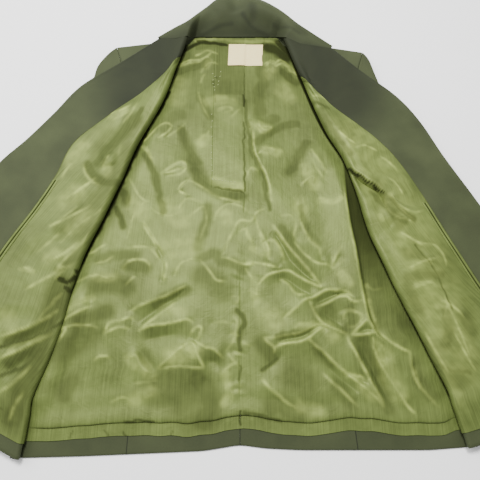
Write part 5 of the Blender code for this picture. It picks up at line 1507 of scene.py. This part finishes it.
# %% Collar
COLLAR = (  # x at the seam, x and y at the edge, mm high at the edge, mm of roll before it
    (-0.1290, -0.133, 0.617, 17.0, 0.5),
    (-0.1130, -0.108, 0.632, 20.0, 1.0),
    (-0.0960, -0.086, 0.645, 22.0, 2.5),
    (-0.0820, -0.070, 0.659, 23.0, 5.0),
    (-0.0680, -0.055, 0.672, 24.0, 9.0),
    (-0.0420, -0.036, 0.690, 24.0, 14.0),
    (-0.0120, -0.010, 0.700, 22.0, 15.0),
    (0.0160, 0.015, 0.696, 23.0, 16.0),
    (0.0380, 0.041, 0.683, 25.0, 15.0),
    (0.0560, 0.067, 0.664, 25.0, 11.0),
    (0.0700, 0.091, 0.641, 24.0, 6.0),
    (0.0890, 0.114, 0.623, 22.0, 3.0),
    (0.1160, 0.135, 0.608, 19.5, 1.5),
    (0.1460, 0.149, 0.599, 17.5, 0.5),
)
COLLAR_DIPS = (
    (-4.5, 20, -2,705, -6,680, -2,660), (-2.5, 16, -40,668, -52,652, -70,640),
    (-2.5, 15, 14,655, 36,648, 55,640),
)
COLLAR_EDGE_TURN = ((0.7, 0.3), (1.1, 1.0), (1.1, 1.9), (0.7, 2.5))  # mm out past the edge, mm down
# Painted shade on the collar: along its seam and in its hollows.
COLLAR_SEAM_SHADE = ((0, 0.05, 0.3, 1), (0.40, 0.45, 0.25, 0.0))  # share from seam to edge, darkness
COLLAR_HOLLOWS = (  # darkness, width in mm, places
    (0.35, 16, -80,634, -62,640, -44,646), (0.4, 16, 12,640, 22,652, 20,668),
    (0.3, 20, 62,640, 80,630, 100,618), (0.55, 9, -71,628, -48,638, -29,644, -13,646),
    (0.55, 8, 4,658, 15,646, 28,638, 47,632), (0.45, 8, 55,642, 75,632, 96,618),
)


def collar_seam(x):
    """The seam that joins the collar to the lapels and the neck: its place and height."""
    front = RIGHT_FRONT if x < 0 else LEFT_FRONT
    fold_x, fold_y, seam_x, seam_y, edge_x, edge_y = front[-1][2:8]
    fold_z, seam_z, edge_z = front[-1][9:12]
    out = abs(x)
    lapel_y = np.interp(out, (fold_x, seam_x, edge_x), (fold_y, seam_y, edge_y))
    lapel_z = np.interp(out, (fold_x, seam_x, edge_x), (fold_z, seam_z, edge_z)) * MM
    lapel_z += OUTER_OVER_OUTER
    on_neck = ease((fold_x - out) / NECK_CURVE)
    y = top_at(x, front) if out < fold_x else lapel_y
    return y + COLLAR_SEAM_GAP, lapel_z + (BACK_LINING_Z - lapel_z) * on_neck


collar_places = np.linspace(0, len(COLLAR) - 1, 150)
seam_x, edge_x, edge_y, edge_z, roll_z = (smooth_at(values, collar_places) for values in np.array(COLLAR).T)
seam_y, seam_z = np.array([collar_seam(x) for x in seam_x]).T
up_collar = np.linspace(0, 1, 30)[:, None]
x = seam_x + up_collar * (edge_x - seam_x)
y = seam_y + up_collar * (edge_y - seam_y)
z = seam_z / MM + up_collar * (edge_z - seam_z / MM)
z = (z + roll_z * np.sin(np.pi * up_collar**1.15)) * MM
z = z + wrinkles(x, y, COLLAR_DIPS) * ease(up_collar * 5)
z = z + 0.5 * MM * slow_noise(x, y, 40 * MM, 7) * ease(up_collar * 3)
collar_rows = np.stack((x, y, z), axis=2)
collar_normals = normals_of(collar_rows, 1)
outward = unit(collar_rows[-1] - collar_rows[-3])
turned = [
    collar_rows[-1] + outward * past * MM - collar_normals[-1] * down * MM for past, down in COLLAR_EDGE_TURN
]
collar_shade = np.interp(up_collar, *COLLAR_SEAM_SHADE)
for depth, width, *line in COLLAR_HOLLOWS:
    collar_shade = np.maximum(collar_shade, depth * near_line(x, y, width, line))
collar_shade = np.pad(collar_shade, ((0, len(turned)), (0, 0)))
lay_cloth("collar_upper", np.concatenate((collar_rows, turned)), *OUTER,
          ["collar_under_cloth"], hollow=collar_shade)
lay_cloth("collar_under", (collar_rows - collar_normals * COLLAR_LAYERS)[::2], *OUTER,
          ["back_left_cloth", "back_right_cloth"])

# %% [markdown]
# ## Label
# A folded woven label is sewn below the neck, over the end of the pleat. It stays bare.
# It is woven of cream polyester, so it has a dull shine and a fine cross rib.

# %% Label
RIB_WIDTH, RIB_LENGTH = 0.8 * MM, 9 * MM
LABEL_WALL, LABEL_OVER_LINING, LABEL_WAVE, LABEL_LEAN = 0.8 * MM, 1.5 * MM, 0.35 * MM, 1.6 * MM


def woven_label():
    look, shader = new_material("woven_label", 0.62, specular=0.35, sheen=0.2)
    place = add_node(look, "UVMap", {"uv_map": "cloth"})
    rib_place = add_node(look, "Mapping", {"Scale": (1 / RIB_LENGTH, 1 / RIB_WIDTH, 1.0)}, {"Vector": place})
    rib = add_node(look, "TexNoise", {"Scale": 1.0, "Detail": 1.0}, {"Vector": rib_place})
    colour = add_node(
        look, "Mix", {"data_type": "RGBA", 6: linear("#DAC682"), 7: linear("#EADCA2")}, {0: rib}
    )
    bump = add_node(look, "Bump", {"Strength": 0.3, "Distance": 0.2 * MM}, {"Height": rib})
    feed(look, shader, {"Base Color": colour.outputs[2], "Normal": bump})
    return look


CREAM = woven_label()
x = np.linspace(LABEL_BOX["left"], LABEL_BOX["right"], 34)
y = np.linspace(LABEL_BOX["low"], LABEL_BOX["high"], 26)
label_x, label_y = np.meshgrid(x, y)
over_pleat = PLEAT_STEP * (1 - ease((label_x - LINING_SEAM_X - 1 * MM) / (2.5 * MM)))
label_z = BACK_LINING_Z + over_pleat + LABEL_OVER_LINING
label_z = label_z + AIR_UNDER_LINING * ease((NECK_Y - label_y) / FOLDS_FADE)
label_z = label_z + LABEL_WAVE * slow_noise(label_x, label_y, 16 * MM, 61)
down = (LABEL_BOX["high"] - label_y) / (LABEL_BOX["high"] - LABEL_BOX["low"])
label_points = np.stack((label_x - LABEL_LEAN * down, label_y, label_z), axis=2)
lay_cloth("label", label_points, LABEL_WALL, CREAM, "label_cream",
          ["back_lining_left_cloth", "back_lining_right_cloth"])

# %% [markdown]
# ## Stitches
# Small stitches of thick thread hold the pleat down, fasten the label and bind the
# buttonholes. One stitch is a short cylinder with rounded ends, because at this size the
# ply of the thread can't be seen. It is modelled once, copied along its seam, and joined.

# %% Thread and stitches
def pick(*pieces):
    """Selects these pieces, and makes the first one active."""
    bpy.ops.object.select_all(action="DESELECT")
    for piece in pieces:
        piece.select_set(True)
    bpy.context.view_layer.objects.active = pieces[0]


def thread(name, hex_colour):
    """Spun polyester thread: a dull shine, no nap."""
    look, shader = new_material(name, 0.55, specular=0.4)
    shader.inputs["Base Color"].default_value = linear(hex_colour)
    return look


def stitched(name, places, turns, length, width, look, slot):
    """Copies one stitch to many places and joins the copies into one piece."""
    lying = (0, math.pi / 2, 0)
    bpy.ops.mesh.primitive_cylinder_add(vertices=8, radius=0.5 * width, depth=length, rotation=lying)
    stitch = bpy.context.object
    bpy.ops.object.transform_apply(location=False, rotation=True, scale=True)
    rounding = stitch.modifiers.new("rounded ends", "BEVEL")
    rounding.width, rounding.segments = 0.3 * width, 2
    bpy.ops.object.modifier_apply(modifier="rounded ends")
    bpy.ops.object.shade_smooth()
    stitch.data.materials.append(look)
    copies = []
    for place, turn in zip(places, turns):
        pick(stitch)
        bpy.ops.object.duplicate()
        copy = bpy.context.object
        copy.location, copy.rotation_euler = place, (0, 0, turn)
        copies.append(copy)
    bpy.data.objects.remove(stitch)
    pick(*copies)
    if len(copies) > 1:
        bpy.ops.object.join()
    bpy.ops.object.transform_apply(location=True, rotation=True, scale=True)
    piece = bpy.context.object
    piece.name = piece.data.name = name
    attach(piece, "root")
    return piece


LINING_THREAD = thread("lining_thread", "#8F9A62")
CREAM_THREAD = thread("cream_thread", "#CFC59A")
print("threads:", LINING_THREAD.name, CREAM_THREAD.name)

# %% Tacks of the centre pleat
PLEAT_TACKS = (  # mm; a zigzag bar under the label, then single tacks
    (-44, 555), (-31, 558), (-40, 549), (-32, 549), (-43, 543), (-34, 540), (-43, 536), (-35, 533),
    (-41, 529), (-40, 523),
    (-44, 479), (-43, 467), (-44, 456), (-43, 439), (-43, 423), (-43, 412), (-43, 402), (-42, 391),
    (-41, 381), (-41, 368),
)
TACK_TURNS = (20, 75)  # degrees, in turn
PLEAT_FOOT = ((-40, 366.5), (-8, 361.5), 8)  # from, to, and how many stitches
TACK_SIZE = (2.4 * MM, 0.9 * MM)  # length, thickness


def on_back_lining(x, y):
    """A place on the right half of the back lining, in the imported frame."""
    x, y = np.array([x]), np.array([y])
    z, _ = back_lining_height(x, y, y - hem_at(x), -1, RIGHT_FRONT)
    z = z + pleat_lift(x, y) + 0.5 * MM
    return np.array((x[0], y[0], z[0])) + SHIFT


tack_places = [on_back_lining(x * MM, y * MM) for x, y in PLEAT_TACKS]
tack_turns = [math.radians(TACK_TURNS[k % 2]) for k in range(len(tack_places))]
foot_from, foot_to, foot_count = PLEAT_FOOT
for foot_x, foot_y in np.linspace(foot_from, foot_to, foot_count) * MM:
    tack_places.append(on_back_lining(foot_x, foot_y))
    tack_turns.append(math.atan2(foot_to[1] - foot_from[1], foot_to[0] - foot_from[0]))
stitched("pleat_tacks", tack_places, tack_turns, *TACK_SIZE, LINING_THREAD, "lining_satin")
print(len(tack_places), "tacks")

# %% Stitches of the label
LABEL_STITCH = 3.4 * MM  # from one stitch to the next
STITCH_SIZE = (2.3 * MM, 0.4 * MM)  # length, thickness
label_places, label_turns = [], []
for start, end in (((1, 1), (1, -2)), ((-2, 1), (-2, -2)), ((1, 1), (-2, 1)), ((1, -2), (-2, -2))):
    run = label_points[end] - label_points[start]
    count = int(np.linalg.norm(run) / LABEL_STITCH)
    for share in (np.arange(count) + 0.5) / count:
        place = label_points[start] + share * run
        nearest_point = np.argmin(np.hypot(label_x - place[0], label_y - place[1]))
        place[2] = label_points[..., 2].reshape(-1)[nearest_point] + 0.5 * LABEL_WALL + 0.1 * MM
        label_places.append(place + SHIFT)
        label_turns.append(math.atan2(run[1], run[0]))
stitched("label_stitches", label_places, label_turns, *STITCH_SIZE, CREAM_THREAD, "label_cream")
print(len(label_places), "label stitches")

# %% [markdown]
# ## Buttonholes
# The wearer's right front has the buttonholes. A plain hole 22 mm long is cut through cloth
# and facing, and bound with close stitches across its edge. The cut itself is a thin dark
# line of painted shadow, made like a long stitch.

# %% Buttonholes
HOLE_LENGTH, HOLE_BINDING, HOLE_PITCH, HOLE_INSET = 22 * MM, 1.7 * MM, 0.8 * MM, 40 * MM
HOLE_SECTIONS, HOLE_THREAD = (3.98, 1.8), 0.7 * MM
CUT_WIDTH, CUT_OVER_FACING = 0.6 * MM, 0.15 * MM
SUITING_THREAD = thread("suiting_thread", "#3B4229")
# A near-black piece laid in the cut is a painted shadow.
CUT_SHADOW = thread("cut_shadow", "#0B0C07")


def facing_place(section, inset):
    """A point of the right facing this far in from its edge, and the direction to its edge."""
    surface = SURFACES["right"]
    row = int(round(section / LAST_ROW * (len(surface) - 1)))
    points = surface[row, SEAM_COLUMN:]
    from_edge = np.linalg.norm(points - points[-1], axis=1)[::-1]
    place = read_rows(inset, from_edge, points[::-1])
    return place + UP * (OUTER_OVER_OUTER + 0.5 * OUTER_WALL + 0.1 * MM), unit(points[-1] - place)


for name, section in zip(("upper", "lower"), HOLE_SECTIONS):
    places, turns = [], []
    start, outward = facing_place(section, HOLE_INSET)
    turn = math.atan2(outward[1], outward[0])
    across = np.array((-outward[1], outward[0], 0.0))
    for along in np.arange(0, HOLE_LENGTH, HOLE_PITCH):
        place, _ = facing_place(section, HOLE_INSET - along)
        for side in (-1, 1):
            places.append(place + side * 0.5 * HOLE_BINDING * across + SHIFT)
            turns.append(turn + math.pi / 2)
    stitched(f"buttonhole_{name}", places, turns, HOLE_BINDING, HOLE_THREAD, SUITING_THREAD, "outer_cloth")
    middle, _ = facing_place(section, HOLE_INSET - 0.5 * HOLE_LENGTH)
    stitched(f"buttonhole_cut_{name}", [middle + UP * CUT_OVER_FACING + SHIFT], [turn],
             HOLE_LENGTH, CUT_WIDTH, CUT_SHADOW, "outer_cloth")
print("buttonholes bound at sections", HOLE_SECTIONS)

# %% [markdown]
# ## Buttons
# A blazer button is turned from polyester resin: a rim, a dish inside it and four holes. Here
# it is a cylinder with a rounded edge, and Boolean modifiers sink the dish and the holes.
# Its face lies towards the table, because it is sewn on the outer side of the open front.

# %% Buttons
RESIN_CLOUD = 5 * MM
RIM_WIDTH, RIM_ROUND, DISH_DEPTH, HOLE_RADIUS, HOLE_OUT = 2.2 * MM, 0.7 * MM, 0.7 * MM, 0.9 * MM, 1.9 * MM
BUTTON_THREAD = (3.4 * MM, 0.8 * MM)  # length, thickness


def resin():
    """Polyester resin: a soft polish and faint clouds, as in horn."""
    look, shader = new_material("polyester_resin", 0.32, specular=0.5)
    place = add_node(look, "TexCoord").outputs["Object"]
    clouds = add_node(
        look, "TexNoise", {"Scale": 1 / RESIN_CLOUD, "Detail": 2.0, "Distortion": 1.5}, {"Vector": place}
    )
    colour = add_node(
        look, "Mix", {"data_type": "RGBA", 6: linear("#2C3120"), 7: linear("#4C5338")}, {0: clouds}
    )
    feed(look, shader, {"Base Color": colour.outputs[2]})
    return look


def cylinder(radius, depth, place, sides=48):
    bpy.ops.mesh.primitive_cylinder_add(vertices=sides, radius=radius, depth=depth, location=place)
    return bpy.context.object


def cut_out(piece, cutter):
    pick(piece)
    cut = piece.modifiers.new("cut", "BOOLEAN")
    cut.object, cut.operation, cut.solver = cutter, "DIFFERENCE", "EXACT"
    bpy.ops.object.modifier_apply(modifier="cut")
    bpy.data.objects.remove(cutter)


RESIN = resin()
for name in ("button_upper", "button_lower"):
    low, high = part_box(name)
    centre, radius, thick = 0.5 * (low + high), 0.5 * (high.x - low.x), high.z - low.z
    button = cylinder(radius, thick, centre)
    button.name = button.data.name = f"{name}_resin"
    rounding = button.modifiers.new("rim", "BEVEL")
    rounding.width, rounding.segments, rounding.limit_method = RIM_ROUND, 4, "ANGLE"
    bpy.ops.object.modifier_apply(modifier="rim")
    cut_out(button, cylinder(radius - RIM_WIDTH, 2 * DISH_DEPTH, (centre.x, centre.y, low.z)))
    for turn in np.radians((45, 135, 225, 315)):
        place = (centre.x + HOLE_OUT * math.cos(turn), centre.y + HOLE_OUT * math.sin(turn), centre.z)
        cut_out(button, cylinder(HOLE_RADIUS, 2 * thick, place, 16))
    button.data.materials.append(RESIN)
    bpy.ops.object.transform_apply(location=True, rotation=True, scale=True)
    bpy.ops.object.shade_smooth_by_angle(angle=math.radians(35))
    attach(button, "root")
    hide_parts(name)
    reach, height = HOLE_OUT * 0.707, low.z + DISH_DEPTH - 0.1 * MM
    threads = [(centre.x, centre.y + step * reach, height) for step in (-1, 1)]
    stitched(f"{name}_thread", threads, [0.0, 0.0], *BUTTON_THREAD, SUITING_THREAD, "button_plastic")
    print(f"{name}: radius {1000 * radius:.1f} mm, {1000 * thick:.1f} mm thick")

# %% [markdown]
# ## Table, light and camera
# The garment lies on a white table. A lamp hangs over it, a little beyond the collar, a large
# soft window lights it from the left, and a pale room fills the shadows. The camera stands
# over the lower back and looks down steeply from 0.65 m above the table, tilted towards the
# collar, with the field of view of the picture.

# %% Table
white, white_shader = new_material("white_table", 0.8, specular=0.2)
white_shader.inputs["Base Color"].default_value = linear("#F8F8F7")
bpy.ops.mesh.primitive_plane_add(size=6, location=(0, 0, 0))
table = bpy.context.object
table.name = "table"
table.data.materials.append(white)
print("table:", [round(v, 2) for v in table.dimensions])

# %% Light
ROOM_BRIGHTNESS = 0.75
MIDDLE = mathutils.Vector((SHIFT[0], SHIFT[1] + 0.30, 0.0))


def soft_lamp(name, place, size, power):
    """A square lamp that shines at the middle of the garment; its place is read from the hem."""
    bpy.ops.object.light_add(type="AREA", location=SHIFT + place)
    lamp = bpy.context.object
    lamp.name = name
    lamp.data.size, lamp.data.energy = size, power
    lamp.rotation_euler = (lamp.location - MIDDLE).to_track_quat("Z", "Y").to_euler()
    print(f"{name}: {power} W, {size} m wide")


soft_lamp("ceiling_light", (-0.15, 0.85, 1.55), 0.45, 46)
soft_lamp("window_light", (-1.3, 1.1, 1.5), 1.2, 32)

world = bpy.data.worlds.new("pale_room")
bpy.context.scene.world = world
world.use_nodes = True
room = world.node_tree.nodes["Background"]
room.inputs["Color"].default_value = linear("#F6F7F8")
room.inputs["Strength"].default_value = ROOM_BRIGHTNESS

# %% Camera
CAMERA_PLACE, CAMERA_TILT = (0, 0.05, 0.65), 19.0
SENSOR, FOCAL = 36.0, 36.075  # mm
bpy.ops.object.camera_add(location=SHIFT + CAMERA_PLACE, rotation=(math.radians(CAMERA_TILT), 0, 0))
camera = bpy.context.object
camera.name = "camera"
camera.data.sensor_width, camera.data.lens = SENSOR, FOCAL
bpy.context.scene.camera = camera
print("camera at", tuple(round(v, 3) for v in camera.location))

# %% Final update of the scene
bpy.context.view_layer.update()
